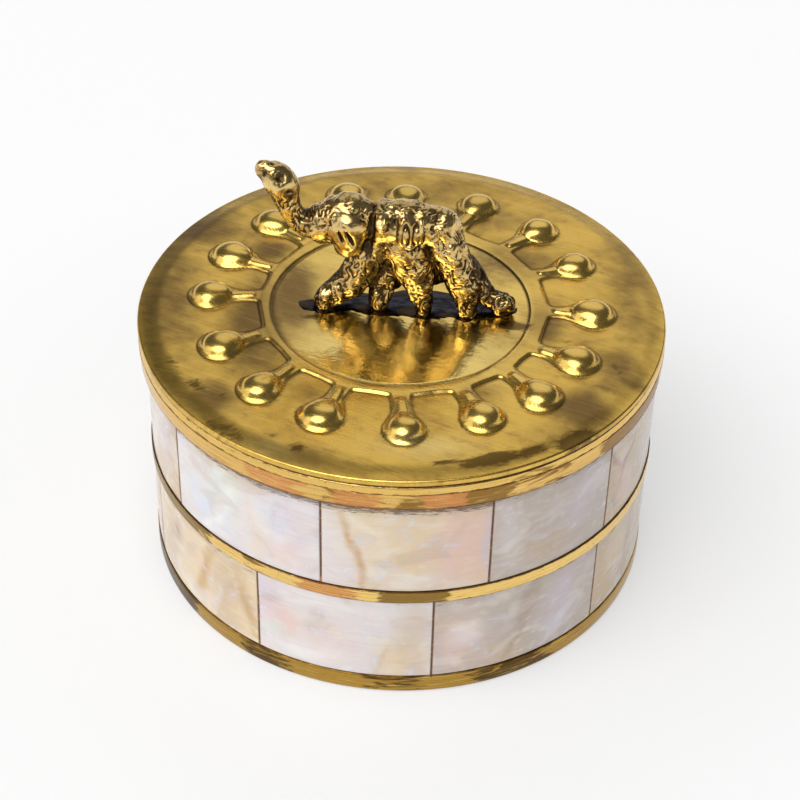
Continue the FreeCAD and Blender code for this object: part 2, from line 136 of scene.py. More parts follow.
class Finish:
    """A material being made up. plain holds the shader's own constant values, by socket name."""

    def __init__(self, name, plain=None):
        self.material = bpy.data.materials.new(name)
        self.material.use_nodes = True
        self.tree = self.material.node_tree
        self.shader = self.tree.nodes["Principled BSDF"]
        for socket, value in (plain or {}).items():
            self.shader.inputs[socket].default_value = value
        self.position = self.node("TexCoord", out="Object")

    def node(self, kind, settings=None, sockets=None, out=0):
        """Any node: its settings are set first, then its sockets get their values or links."""
        made = self.tree.nodes.new("ShaderNode" + kind)
        for setting, value in (settings or {}).items():
            setattr(made, setting, value)
        for socket, value in (sockets or {}).items():
            self.join(made.inputs[socket], value)
        return Signal(self, made.outputs[out])

    def join(self, socket, value):
        if isinstance(value, Signal):
            self.tree.links.new(value.socket, socket)
        else:
            socket.default_value = value

    def math(self, operation, *values):
        return self.node("Math", {"operation": operation}, dict(enumerate(values)))

    def mark(self, name, out="Fac"):
        """A value that the mesh carries at each of its points."""
        return self.node("Attribute", {"attribute_name": name}, out=out)

    def along(self, axis):
        return self.node("SeparateXYZ", sockets={0: self.position}, out=axis)

    def laid(self, sizes, turn=(0, 0, 0), shift=0.0, position=None):
        """Positions in units of the pattern's own grain, whose lengths along its axes are in mm."""
        return self.node("Mapping", {"vector_type": "TEXTURE"}, {
            "Vector": position or self.position,
            "Location": (shift * MM, shift * 1.7 * MM, shift * 0.6 * MM),
            "Rotation": tuple(np.radians(turn)),
            "Scale": tuple(MM * size for size in sizes),
        })

    def cloud(self, sizes, detail=2.0, rough=0.5, bend=0.0, **laying):
        """Soft random patches of the given sizes, about 0.5 in the middle."""
        return self.node("TexNoise", {"noise_dimensions": "3D"}, {
            "Vector": self.laid(sizes, **laying), "Scale": 1.0, "Detail": detail,
            "Roughness": rough, "Distortion": bend,
        })

    def cells(self, sizes, **laying):
        """The distance to the nearest of many scattered points, smooth where two are equally near."""
        return self.node("TexVoronoi", {"feature": "SMOOTH_F1"}, {
            "Vector": self.laid(sizes, **laying), "Scale": 1.0,
        }, out="Distance")

    def rise(self, value, low, high, bottom=0.0, top=1.0):
        """Climbs smoothly from bottom to top while the value goes from low to high."""
        return self.node("MapRange", {"interpolation_type": "SMOOTHSTEP"}, {
            "Value": value, "From Min": low, "From Max": high, "To Min": bottom, "To Max": top,
        })

    def blend(self, share, first, second):
        """The first colour, going over to the second by the share."""
        first, second = (c if isinstance(c, Signal) else (*c, 1) for c in (first, second))
        return self.node("Mix", {"data_type": "RGBA"}, {0: share, 6: first, 7: second}, out=2)

    def layers(self, ground, *coats):
        """The ground colour, over which each (share, colour) is laid in turn."""
        for share, colour in coats:
            ground = self.blend(share, ground, colour)
        return ground

    def dents(self, height, depth, under=None):
        """A surface whose height swings by the given depth in mm, laid over another such surface."""
        sockets = {"Height": height, "Distance": depth * MM, "Strength": 1.0}
        if under:
            sockets["Normal"] = under
        return self.node("Bump", sockets=sockets)

    def wear(self, *things, **links):
        """Links what changes over the surface, and puts the material on the things."""
        for socket, value in links.items():
            self.join(self.shader.inputs[socket.replace("_", " ")], value)
        for thing in things:
            thing.data.materials.clear()
            thing.data.materials.append(self.material)
        return self.material


def tone(red, green, blue):
    """A colour as a screen shows it, each part out of 255, turned into the light it stands for."""
    value = np.array([red, green, blue]) / 255
    return tuple(np.where(value > 0.04045, ((value + 0.055) / 1.055) ** 2.4, value / 12.92).tolist())


def lay_table():
    """Flat out to the table's radius, a quarter turn up, then straight: rows by distance out. Where it
    is seen or mirrored, a share of it is plain white: half beside the box, nine tenths from 17 cm out,
    and less again up the backdrop."""
    inner = np.array([[0.0, 0.0], [0.15, 0], [0.35, 0], [0.6, 0], [TABLE_RADIUS, 0]])
    arc = np.linspace(0, np.pi / 2, 20)[1:]
    sweep = np.stack([np.sin(arc), 1 - np.cos(arc)], axis=1) * SWEEP_RADIUS + [TABLE_RADIUS, 0]
    wall = np.array([[TABLE_RADIUS + SWEEP_RADIUS, BACKDROP_HEIGHT]])
    section = np.concatenate([inner, sweep, wall]) / MM - [0, TABLE_GAP]
    table = skin("table", swept_round(section, 96), ends="open")
    paper = Finish("table_paper")
    tree = paper.tree
    ray = tree.nodes.new("ShaderNodeLightPath")
    shown = paper.math("MAXIMUM", Signal(paper, ray.outputs["Is Camera Ray"]),
                       Signal(paper, ray.outputs["Is Glossy Ray"]))
    lit = tree.nodes.new("ShaderNodeBsdfDiffuse")
    lit.inputs["Color"].default_value = TABLE_TONE
    white = tree.nodes.new("ShaderNodeEmission")
    white.inputs["Color"].default_value = (1, 1, 1, 1)
    mixed = tree.nodes.new("ShaderNodeMixShader")
    out = paper.math("SQRT", paper.along("X") * paper.along("X") + paper.along("Y") * paper.along("Y"))
    share = paper.rise(out, 0.064, 0.17, 0.5, 0.9) - paper.rise(paper.along("Z"), 0.03, 0.3, 0.0, 0.62)
    paper.join(mixed.inputs[0], shown * share)
    tree.links.new(lit.outputs[0], mixed.inputs[1])
    tree.links.new(white.outputs[0], mixed.inputs[2])
    tree.links.new(mixed.outputs[0], tree.nodes["Material Output"].inputs["Surface"])
    tree.nodes.remove(paper.shader)
    table.data.materials.append(paper.material)


lay_table()

# The lamps: one large soft box high on the left in front, which gives each drop its broad highlight,
# a wide dim sheet behind the box, which the flat of the lid reflects, and one low on the left. The room
# round them is dark, so the right-hand sides of the drops and of the elephant stay dark too.
LAMPS = {
    "key_box": dict(azimuth=237, elevation=61, distance=1.4, across=1.36, light=3.55),
    "back_sheet": dict(azimuth=82, elevation=43, distance=1.4, across=1.25, light=0.72),
    "left_sheet": dict(azimuth=192, elevation=30, distance=1.4, across=1.0, light=1.1),
}
ROOM_GREY, AIM_HEIGHT = 0.1, 0.05


def hang_lamp(name, azimuth, elevation, distance, across, light):
    """A round lamp that faces the middle of the box. Its power is pi times its area times its light."""
    a, e = np.radians([azimuth, elevation])
    away = Vector((np.cos(e) * np.cos(a), np.cos(e) * np.sin(a), np.sin(e)))
    lamp = bpy.data.objects.new(name, bpy.data.lights.new(name, "AREA"))
    lamp.data.shape, lamp.data.size = "DISK", across
    lamp.data.energy = light * np.pi * np.pi * (across / 2) ** 2
    lamp.location = away * distance + Vector((0, 0, AIM_HEIGHT))
    lamp.rotation_mode = "QUATERNION"
    lamp.rotation_quaternion = away.to_track_quat("Z", "Y")
    lamp.visible_camera = False
    bpy.context.scene.collection.objects.link(lamp)


for lamp_name, lamp_sizes in LAMPS.items():
    hang_lamp(lamp_name, **lamp_sizes)
room = bpy.data.worlds.new("room")
room.use_nodes = True
room.node_tree.nodes["Background"].inputs["Color"].default_value = (ROOM_GREY, ROOM_GREY, ROOM_GREY, 1)
bpy.context.scene.world = room


# The pot: a flat disc of brass sheet for the bottom and a rolled brass sheet for the wall, soldered
# together. Only its inside is ever seen, dull and finger-marked, with soft tarnish.
POT_RADIUS, POT_SHEET, POT_HEIGHT, BASE_SHEET = 57.0, 0.8, 62.1, 0.9


def rounded(corners, radii, step=1.2):
    """The closed outline through (radius, height) corners. Each corner gives way to an arc, drawn as
    (1 - t)^2 a + 2 t (1 - t) corner + t^2 b between its two tangent points, and runs get even steps."""
    corners = np.array(corners, float)
    radii = np.broadcast_to(radii, len(corners))
    before, after = np.roll(corners, 1, 0), np.roll(corners, -1, 0)

    def towards(other):
        run = other - corners
        length = np.linalg.norm(run, axis=1, keepdims=True)
        return corners + run / length * np.minimum(radii[:, None], length * 0.45)

    t = np.linspace(0, 1, 6)[None, :, None]
    enter, leave = towards(before)[:, None], towards(after)[:, None]
    arcs = (1 - t) ** 2 * enter + 2 * t * (1 - t) * corners[:, None] + t ** 2 * leave
    pieces = []
    for arc, following in zip(arcs, np.roll(arcs, -1, 0)):
        gap = following[0] - arc[-1]
        count = max(int(np.linalg.norm(gap) / step), 1)
        pieces += [arc, arc[-1] + gap * (np.arange(1, count) / count)[:, None]]
    return np.concatenate(pieces)


def wander(turn, seed, waves=(2, 3, 5, 8, 13, 21)):
    """The small unevenness of handwork round a ring: sines of the angle with the given numbers of
    waves, each half as strong as its number says, at random starting angles. Stays near -1 to 1."""
    dice = np.random.default_rng(seed)
    total = np.zeros_like(turn)
    for count, start in zip(waves, dice.uniform(0, 2 * np.pi, len(waves))):
        total += np.sin(count * turn + start) / np.sqrt(count)
    return total / 1.6


def turned(name, section, columns=384, out=0.0, up=0.0, seed=0, ends="loop", off=0.0, round_marks=None):
    """A section turned round Z, whose radius and height wander by the given amounts in mm. Its outer
    face lies off the axis along X by off, in proportion to how far out each point of it is.
    round_marks are values that depend only on the angle."""
    points = swept_round(section, columns)
    turn = np.linspace(0, 2 * np.pi, columns, endpoint=False)
    swell = 1 + out * wander(turn, seed) / max(section[:, 0].max(), 1)
    points[..., :2] *= swell[None, :, None]
    points[..., 2] += up * wander(turn, seed + 1) * (section[:, 1:] > 0.05)
    inner, outer = section[:, :1].min(), section[:, :1].max()
    points[..., 0] += off * (section[:, :1] - inner) / (outer - inner)
    marks = {mark: values + 0 * points[..., 2] for mark, values in (round_marks or {}).items()}
    return skin(name, points, ends, marks)


def pot_brass(*things):
    """Dull yellow brass: broad tarnish clouds, finger smears and the long scratches of rolling."""
    f = Finish("pot_brass", {"Metallic": 1.0})
    clouds = f.rise(f.cloud((22, 22, 16), detail=4, rough=0.6, bend=0.6), 0.36, 0.66)
    smears = f.cloud((30, 30, 0.5), detail=3)
    spots = f.rise(f.cloud((1.6, 1.6, 1.6), detail=3, shift=5), 0.62, 0.74)
    colour = f.layers(tone(196, 160, 92), (clouds, tone(146, 112, 60)), (spots * 0.6, tone(84, 60, 34)))
    f.wear(*things, Base_Color=colour, Roughness=smears * 0.22 + clouds * 0.12 + 0.22,
           Normal=f.dents(smears + spots * -0.6, 0.02))


BASE_CIRCLES = (8, 20, 35, 50, 55, POT_RADIUS - 0.3)
base = turned("base_sheet", np.array([
    [0, 0], *([radius, 0] for radius in BASE_CIRCLES), [POT_RADIUS, 0.25], [POT_RADIUS, BASE_SHEET - 0.25],
    *([radius, BASE_SHEET] for radius in reversed(BASE_CIRCLES)), [0, BASE_SHEET],
]), columns=192, ends="tips")
wall = turned("wall_sheet", rounded([(POT_RADIUS - POT_SHEET, BASE_SHEET), (POT_RADIUS, BASE_SHEET),
              (POT_RADIUS, POT_HEIGHT), (POT_RADIUS - POT_SHEET, POT_HEIGHT)], 0.2, step=4))
for piece, node in ((base, "base_disc"), (wall, "wall_liner")):
    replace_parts(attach(piece, "box"), node)
pot_brass(base, wall)


# The foot band: a strip of brass with a rounded back, bent round the foot and soldered to the wall.
# Its top lip holds the lower tiles. Handling keeps its outer face bright, and its edges hold dirt;
# along its base the darkening is also a painted contact shadow.
BAND_INSIDE, FOOT_FACE, FOOT_TOP = 57.03, 59.2, 4.9


def places_round(places, seed, columns=384):
    """How strongly a finish shows at each angle round a ring: for each (angle, half width, strength),
    strength times exp(-d^4) with d the distance in half widths. At the back a random share takes
    over, which fades in from 80 to 95 degrees off the front."""
    turn = np.linspace(0, 360, columns, endpoint=False)
    behind = 1 - np.clip((95 - np.abs((turn - 90) % 360 - 180)) / 15, 0, 1)
    shown = behind * (0.42 + 0.42 * wander(np.radians(turn), seed, (4, 7, 11, 17)))
    for angle, half, strength in places:
        shown = np.maximum(shown, strength * np.exp(-((turn - angle) / half) ** 4))
    return shown


def band_brass(name, low, high, bright, dull, shift, edge=0.4, lower_edge=0.0):
    """Hand-finished band: striations and file marks along it, dull and copper-red stretches where its
    marks say, dark specks, and darkening along its edges, wider along the lower one by lower_edge:
    dirt, and along the foot band's base also a painted contact shadow."""
    f = Finish(name, {"Metallic": 1.0})
    height = f.along("Z")
    ragged = (f.cloud((2.0, 2.0, 0.6), detail=4, rough=0.65, shift=shift + 3) - 0.5) * (1.1 * MM)
    above, below = high * MM - height, height - low * MM
    # Darkening along both edges: dirt, and at the foot band's base a painted contact shadow.
    dirt = f.math("MAXIMUM", f.rise(above + ragged * 0.7, edge * MM, 0.05 * MM) * min(edge / 0.25, 1),
                  f.rise(below + ragged, (edge + lower_edge) * MM, 0.1 * MM))
    torn = f.cloud((8, 8, 1.5), detail=4, rough=0.6, bend=1.0, shift=shift) - 0.5
    worn = f.rise(f.mark("dull") + torn * 1.3, 0.38, 0.56)
    reddened = f.mark("copper") + f.cloud((7, 7, 1.1), detail=4, rough=0.65, shift=shift + 20) * 1.3
    red = f.rise(reddened, 1.0, 1.2)
    striations = f.cloud((14, 14, 0.2), detail=3, rough=0.7, shift=shift + 8)
    specks = f.rise(f.cloud((0.8, 0.8, 0.4), detail=2, shift=shift + 31), 0.68, 0.75)
    colour = f.layers(
        bright,
        (worn, dull),
        (red * 0.85, tone(214, 146, 88)),
        (f.rise(striations, 0.3, 0.5, 0.55, 0.0), dull),
        (f.rise(striations, 0.56, 0.7, 0.0, 0.5), tone(250, 222, 146)),
        (specks * 0.75, tone(70, 46, 24)),
        (dirt * 0.85, tone(92, 60, 32)),
    )
    return f.wear(Base_Color=colour, Roughness=striations * 0.28 + worn * 0.08 + dirt * 0.3 + 0.1,
                  Normal=f.dents(striations * 0.7 + specks * -0.5 + dirt * -0.4, 0.035))


foot = turned("foot_ring", rounded([(BAND_INSIDE, 0), (FOOT_FACE, 0), (FOOT_FACE, FOOT_TOP),
              (BAND_INSIDE, FOOT_TOP)], [0.15, 1.0, 0.8, 0.3], step=0.8), out=0.03, seed=4, round_marks={
                  "dull": places_round([(204, 16, 0.9), (240, 9, 0.55), (270, 9, 0.5), (296, 12, 0.6)], 2),
                  "copper": places_round([], 3) * 0.5})
foot.data.materials.append(band_brass("foot_brass", 0, FOOT_TOP, tone(178, 140, 62), tone(92, 68, 30), 11))
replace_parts(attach(foot, "box"), "foot_band")


# The lac: dark resin that beds each course of tiles on the wall and fills the joints between them.
# It was pressed in warm, so it is brown and a little glossy, with amber glints where it is thin.


def dark_lac(*things):
    """Brown resin with amber glints and a crumbled surface."""
    f = Finish("dark_lac", {"Metallic": 0.0, "IOR": 1.52})
    grit = f.cloud((0.6, 0.6, 0.8), detail=3, rough=0.6)
    glints = f.rise(f.cloud((1.5, 1.5, 1.1), detail=2, shift=7), 0.56, 0.7)
    colour = f.layers(tone(70, 42, 24), (grit, tone(120, 76, 40)), (glints * 0.85, tone(196, 138, 62)))
    f.wear(*things, Base_Color=colour, Roughness=grit * 0.4 + 0.25, Normal=f.dents(grit, 0.12))


dark_lac(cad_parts["lower_lac_bed"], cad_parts["upper_lac_bed"])


# The shell tiles: slips of mother-of-pearl about 1.6 mm thick, sawn from the shell's flattest part,
# filed to the wall's curve and polished. Each one has its own tint, lustre and growth lines.
TILE_BACK, TILE_FACE, TILE_END_GAP, TILE_JOINT = 57.4, 59.0, 0.12, 0.3
TILE_ROUNDING, END_ROUNDING, GRIME_DEPTH = 0.22, 0.2, 4.2
LOWER_COURSE, UPPER_COURSE = (FOOT_TOP, 28.2), (31.4, 55.9)
# Where the joints between the tiles stand, in degrees round the box from +X
LOWER_JOINTS = [198.6, 238.4, 277.9, 319.4, 358.5, 398.5, 438.0, 478.5, 518.0]
UPPER_JOINTS = [213.4, 253.7, 289.7, 321.2, 357.0, 392.5, 429.0, 463.5, 501.0, 536.5]

WHITE, PEARL, COLD = tone(246, 244, 242), tone(230, 222, 220), tone(220, 227, 240)
LILAC, ROSE, MINT = tone(216, 202, 216), tone(236, 200, 186), tone(220, 232, 220)
CREAM, BEIGE, HONEY = tone(232, 208, 170), tone(208, 182, 146), tone(202, 162, 98)
GREY, TAUPE, BROWN = tone(198, 184, 172), tone(166, 140, 114), tone(146, 104, 76)

# For each tile that the photograph shows: the ground tint, then its patches as (tint, place along the
# tile, height, half length, half height, lean in degrees, strength), in mm from the tile's middle, and
# last how much grime has settled under its upper edge.
UPPER_TILES = {
    1: (PEARL, [(MINT, -3.6, 4, 5, 6, 0, 0.7), (COLD, -10, -5, 8, 6, -30, 0.9),
                (WHITE, -6, -4, 1.8, 10, -30, 0.9), (CREAM, 4.6, -3, 1.3, 9, 6, 0.4),
                (LILAC, 15, 2, 6, 8, 0, 0.5), (ROSE, 12, -7, 6, 4, 0, 0.45),
                (CREAM, -2, 10.5, 13, 2.2, 0, 0.45), (COLD, 10, 4, 4, 6, 10, 0.4)], 1.0),
    2: (CREAM, [(PEARL, -20, 0, 8.6, 30, 15, 1.0), (HONEY, -10.9, -2, 1.1, 12, 15, 0.95),
                (ROSE, 12, 0, 7.5, 14, 0, 0.8), (PEARL, 1, -9, 9, 3, 0, 0.5),
                (WHITE, -5, -1, 5, 1.6, 25, 0.35), (LILAC, 17.8, 0, 1.4, 14, 0, 0.7)], 0.85),
    3: (GREY, [(PEARL, -12, 2, 4, 11, 8, 0.5), (LILAC, 7, 2, 6, 9, -20, 0.5),
               (BEIGE, -2, -6, 7, 4, 0, 0.5), (PEARL, 0, 4, 6, 1.5, 12, 0.3)], 0.45),
    4: (BEIGE, [(BROWN, -14.5, 3, 1.0, 8, 22, 0.95), (ROSE, -11, -3, 3, 9, 22, 0.9),
                (BROWN, -10.5, 4, 0.8, 6, -30, 0.8), (LILAC, 3, 2, 5, 10, -25, 0.5),
                (ROSE, 10, -3, 5, 9, -20, 0.5), (BROWN, -15.5, -7, 1.5, 2, 0, 0.5)], 0.3),
    10: (BEIGE, [(PEARL, 5, 0, 4, 12, -25, 0.8), (LILAC, 13, 3, 4, 9, -20, 0.6),
                 (TAUPE, 16.5, 5, 2, 8, -15, 0.4)], 0.4),
}
LOWER_TILES = {
    1: (CREAM, [(BEIGE, -13, 0, 7, 14, -20, 0.9), (TAUPE, -9, 4, 2.0, 6, -35, 0.5),
                (HONEY, 3.4, 0, 1.9, 14, -18, 0.9), (BEIGE, 11, 1, 4.5, 14, -10, 0.95),
                (HONEY, 17.6, -1, 2.0, 10, 14, 0.85), (WHITE, 1, -8, 5, 2.5, 0, 0.4),
                (PEARL, 7.5, -6, 1.5, 7, -12, 0.5), (BROWN, -8.4, 4.9, 1.0, 0.5, -35, 0.8)], 0.4),
    2: (PEARL, [(LILAC, -18, 2, 5, 9, 0, 0.9), (ROSE, -14, 0, 5, 5, 20, 0.7),
                (MINT, -17, -3.4, 3, 2.2, 30, 0.7), (WHITE, -8, -8, 9, 2.4, 0, 0.7),
                (ROSE, -2, -3, 6, 7, 0, 0.35), (CREAM, 13, -7, 5.5, 7, -16, 0.9),
                (HONEY, 9.2, -6, 0.8, 6, -22, 0.4), (BEIGE, 16, 3, 4, 9, -8, 0.5),
                (WHITE, -4, 8, 13, 1.1, 3, 0.4)], 0.2),
    3: (GREY, [(ROSE, -15, -1, 5, 9, 0, 0.6), (WHITE, -13, 1, 5, 4, 30, 0.5),
               (TAUPE, 0.5, 4, 2.4, 8, -16, 0.6), (BEIGE, -5, -8, 6, 4, 0, 0.6),
               (LILAC, 11, 0, 6, 9, -15, 0.7), (COLD, 8, -6, 3, 3, 0, 0.4),
               (TAUPE, -2.4, -7, 0.8, 5, -24, 0.5)], 0.3),
    4: (BEIGE, [(CREAM, -12, 3, 5, 9, 0, 0.6), (TAUPE, -4.5, 0, 2.0, 14, -6, 0.6),
                (HONEY, -14, -4, 4, 5, 0, 0.4), (TAUPE, 6, 0, 3, 14, 4, 0.4),
                (PEARL, 11, 0, 3, 12, 0, 0.4)], 0.3),
}


def ripples(points, size, seed, count=14):
    """Uneven swells: the sum of plane waves whose length is about size, each in a random direction
    and from a random start, divided so that the sum stays near -1 to 1."""
    dice = np.random.default_rng(seed)
    ways = dice.normal(size=(count, 3))
    ways *= (2 * np.pi / size * dice.uniform(0.6, 1.7, count) / np.linalg.norm(ways, axis=1))[:, None]
    total = np.zeros(points.shape[:-1])
    for way, start in zip(ways, dice.uniform(0, 2 * np.pi, count)):
        total += np.sin(points @ way + start)
    return total / np.sqrt(count * 1.4)


def climb(value, low, high):
    """0 below low and 1 above high, with 3 t^2 - 2 t^3 between them."""
    t = np.clip((value - low) / (high - low), 0, 1)
    return t * t * (3 - 2 * t)


def tile_tints(along, height, ground, patches, seed):
    """The ground tint, over which each patch lays its own tint by strength times exp(-d^3), where d
    is the distance from its centre in units of its half lengths, along axes that lean with it. The
    distances are stirred by ripples, so that no patch has an even outline."""
    stirred = np.stack([along, height, 0 * along], axis=-1)
    along = along + 0.9 * ripples(stirred, 11, seed) + 0.35 * ripples(stirred, 4, seed + 1)
    height = height + 0.9 * ripples(stirred, 11, seed + 2) + 0.35 * ripples(stirred, 4, seed + 3)
    tints = np.broadcast_to(ground, (*along.shape, 3)).copy()
    for tint, centre, middle, half_long, half_high, lean, strength in patches:
        c, s = np.cos(np.radians(lean)), np.sin(np.radians(lean))
        across = ((along - centre) * c + (height - middle) * s) / half_long
        upright = ((height - middle) * c - (along - centre) * s) / half_high
        share = strength * np.exp(-(across ** 2 + upright ** 2) ** 1.5)
        tints += share[..., None] * (np.array(tint) - tints)
    return tints


def make_tile(name, joint_before, joint_after, course, ground, patches, grime, seed):
    """A curved slip: its rounded section in radius and height is carried along the arc, and drawn in
    at both ends over a quarter turn, so that every edge is softened by the file."""
    low, high = course[0] + TILE_END_GAP, course[1] - TILE_END_GAP
    half_angle = np.radians(joint_after - joint_before) / 2 - TILE_JOINT / 2 / TILE_FACE
    middle_angle, middle = np.radians(joint_before + joint_after) / 2, (low + high) / 2
    section = rounded([(TILE_BACK, low), (TILE_FACE, low), (TILE_FACE, high), (TILE_BACK, high)],
                      TILE_ROUNDING, step=0.62)
    quarter = np.linspace(0, np.pi / 2, 5)[1:]
    body = np.linspace(-1, 1, 62) * (half_angle - END_ROUNDING / TILE_FACE)
    tail = np.sin(quarter) * END_ROUNDING / TILE_FACE + body[-1]
    angles = np.concatenate([[-tail[-1]], -tail[::-1], body, tail, [tail[-1]]])
    curve = 1 - np.cos(quarter)
    drawn = np.concatenate([[1], curve[::-1], np.zeros(len(body)), curve, [1]])[:, None] * END_ROUNDING
    centre = np.array([(TILE_BACK + TILE_FACE) / 2, middle])
    shrink = 1 - drawn[..., None] / [TILE_FACE - TILE_BACK, high - low] * 2
    placed = centre + (section - centre) * shrink
    placed[0], placed[-1] = centre, centre
    radius, height = placed[..., 0], placed[..., 1]
    along = angles[:, None] * TILE_FACE + 0 * radius
    wavy = np.stack([along, height, seed * 13.0 + 0 * along], axis=-1)
    outward = climb(radius, TILE_BACK + 0.9, TILE_FACE - 0.1)
    radius = radius + outward * (0.035 * ripples(wavy, 13, seed) - 0.04)
    turn = middle_angle + angles[:, None]
    points = np.stack([radius * np.cos(turn), radius * np.sin(turn), height], axis=-1)
    to_edge = np.minimum(half_angle * TILE_FACE - np.abs(along), (high - low) / 2 - np.abs(height - middle))
    marks = {
        "tint": tile_tints(along, height - middle, ground, patches, seed),
        "edge": 1 - climb(to_edge, 0.0, 0.3),
        "under_rim": climb(height, high - GRIME_DEPTH, high) * grime,
        "place": np.stack([along, height - middle, seed * 37.0 + radius - TILE_FACE], axis=-1),
    }
    tile = skin(name, points, "tips", marks)
    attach(tile, "box")
    "upper_shell" if course == UPPER_COURSE else "lower_shell"
    return tile


def nacre(*things):
    """Polished shell. The tint comes from the tile; over it lie soft pink, blue and cream clouds, silky
    lines along the tile, pearly beads in some places with painted highlights on their tops, and brown
    scratches under the rim."""
    f = Finish("nacre", {"Metallic": 0.0, "IOR": 1.55, "Coat Roughness": 0.1, "Coat IOR": 1.5})
    place = f.mark("place", out="Vector")
    spread = {"position": f.node("VectorMath", {"operation": "SCALE"}, {0: place, "Scale": MM})}
    drift = f.cloud((11, 8, 20), detail=2, bend=0.6, **spread)
    play = f.cloud((5.5, 4.2, 20), detail=2, bend=0.5, shift=4, **spread)
    silk = f.cloud((15, 0.8, 20), detail=3, rough=0.55, bend=0.2, shift=9, **spread)
    beads = f.cells((2.5, 1.8, 20), shift=6, **spread)
    beaded = f.rise(f.cloud((9, 6, 20), detail=2, shift=30, **spread), 0.54, 0.62)
    under_rim = f.mark("under_rim")
    scratches = f.cloud((3.2, 0.3, 20), detail=4, rough=0.7, bend=0.9, shift=14, **spread)
    grime = f.rise(scratches + under_rim * 0.34, 0.64, 0.76) * f.rise(under_rim, 0.03, 0.3) * 0.85
    colour = f.layers(
        f.mark("tint", out="Color"),
        (f.rise(play, 0.51, 0.6, 0.0, 0.16), tone(240, 206, 216)),
        (f.rise(play, 0.6, 0.68, 0.0, 0.26), tone(196, 216, 230)),
        (f.rise(play, 0.43, 0.33, 0.0, 0.2), tone(246, 232, 200)),
        (f.rise(drift, 0.54, 0.7, 0.0, 0.3), tone(246, 243, 238)),
        (f.rise(drift, 0.46, 0.32, 0.0, 0.3), tone(190, 168, 148)),
        (f.rise(silk, 0.54, 0.7, 0.0, 0.1), tone(252, 250, 246)),
        (f.rise(silk, 0.46, 0.3, 0.0, 0.12), tone(180, 156, 134)),
        # Painted highlights: the tops of the beads are lightened to near white.
        (f.rise(beads, 0.42, 0.1, 0.0, 0.22) * beaded, tone(250, 248, 246)),
        (grime, tone(104, 72, 44)),
        (f.rise(f.mark("edge") + scratches * 0.4, 0.3, 1.1, 0.0, 0.8), tone(140, 100, 60)),
    )
    f.wear(*things, Base_Color=colour, Roughness=play * 0.14 + grime * 0.4 + 0.18,
           Coat_Weight=0.35 - grime * 0.35,
           Normal=f.dents(silk * 0.35 + beads * beaded * -0.5 - grime * 0.8, 0.025))


tiles = []
grounds = [PEARL, CREAM, GREY, PEARL, BEIGE]
for course_name, joints, course, shown in (("lower", LOWER_JOINTS, LOWER_COURSE, LOWER_TILES),
                                           ("upper", UPPER_JOINTS, UPPER_COURSE, UPPER_TILES)):
    for number, joint_pair in enumerate(zip(joints, [*joints[1:], joints[0] + 360]), start=1):
        seed = number + (40 if course_name == "upper" else 0)
        dice = np.random.default_rng(seed)
        ground, patches, grime = grounds[seed % len(grounds)], [], 0.35
        for tint in (ROSE, LILAC, CREAM, GREY, HONEY):
            patches.append((tint, *dice.uniform((-14, -8, 3, 5, -30, 0.3), (14, 8, 10, 12, 30, 0.7))))
        if number in shown:
            ground, patches, grime = shown[number]
        name = f"{course_name}_tile_{number:02d}"
        tile = make_tile(name + "_shell", *joint_pair, course, ground, patches, grime, seed)
        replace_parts(tile, name)
        tiles.append(tile)
nacre(*tiles)


# The middle band lies between the two courses, flush with them but for a hair. It was filed along
# with the tiles, so it is flat and bright in some stretches and olive in others.
MID_LOW, MID_TOP, MID_FACE = LOWER_COURSE[1], UPPER_COURSE[0], 59.3
mid = turned("middle_ring", rounded([(BAND_INSIDE, MID_LOW), (MID_FACE, MID_LOW), (MID_FACE, MID_TOP),
             (BAND_INSIDE, MID_TOP)], [0.1, 0.25, 0.25, 0.1], step=0.7), out=0.04, seed=7,
             round_marks={"dull": places_round([(206, 20, 0.9), (238, 4, 0.5), (273.5, 8, 1.0)], 5),
                          "copper": places_round([(255, 7.5, 0.75), (283, 3, 0.3)], 6)})
mid.data.materials.append(band_brass("middle_brass", MID_LOW, MID_TOP, tone(242, 204, 122),
                                     tone(146, 116, 58), 50, edge=0.25))
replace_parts(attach(mid, "box"), "mid_band")


# The rim band is the widest strip, soldered over the top edge of the upper tiles. Above it a narrow
# ring lines the mouth, and the lid's edge comes down on that.
RIM_LOW, RIM_TOP, RIM_FACE, MOUTH_FACE = UPPER_COURSE[1], 60.2, 60.15, 60.1
# Both sit a little to the left, in mm along X
RIM_SHIFT = -0.4
rim = turned("rim_ring", rounded([(BAND_INSIDE, RIM_LOW), (RIM_FACE - 0.15, RIM_LOW), (RIM_FACE, RIM_TOP - 2),
             (RIM_FACE, RIM_TOP), (BAND_INSIDE, RIM_TOP)], [0.1, 0.45, 1, 0.12, 0.1], step=0.6), out=0.03,
             seed=9, off=RIM_SHIFT, round_marks={
                 "dull": places_round([(262, 9, 0.45), (275, 7, 0.5), (287, 9, 0.7), (302, 8, 0.5),
                                       (330, 16, 0.85)], 8),
                 "copper": places_round([(232, 6, 0.3), (244, 9, 0.55), (262, 6, 0.7), (279.5, 5, 0.75),
                                         (300, 5, 0.2)], 9)})
mouth = turned("mouth_lining", rounded([(BAND_INSIDE, RIM_TOP), (MOUTH_FACE, RIM_TOP),
               (MOUTH_FACE - 0.3, POT_HEIGHT), (BAND_INSIDE, POT_HEIGHT)], [0.1, 0.12, 0.6, 0.2], step=0.6),
               out=0.03, seed=9, off=RIM_SHIFT, round_marks={
                   "dull": places_round([(225, 12, 0.3), (300, 10, 0.4)], 10),
                   "copper": places_round([(250, 8, 0.35)], 11) * 0.6})
rim.data.materials.append(band_brass("rim_brass", RIM_LOW, RIM_TOP, tone(228, 186, 106),
                                     tone(150, 112, 54), 70, edge=0.12, lower_edge=0.8))
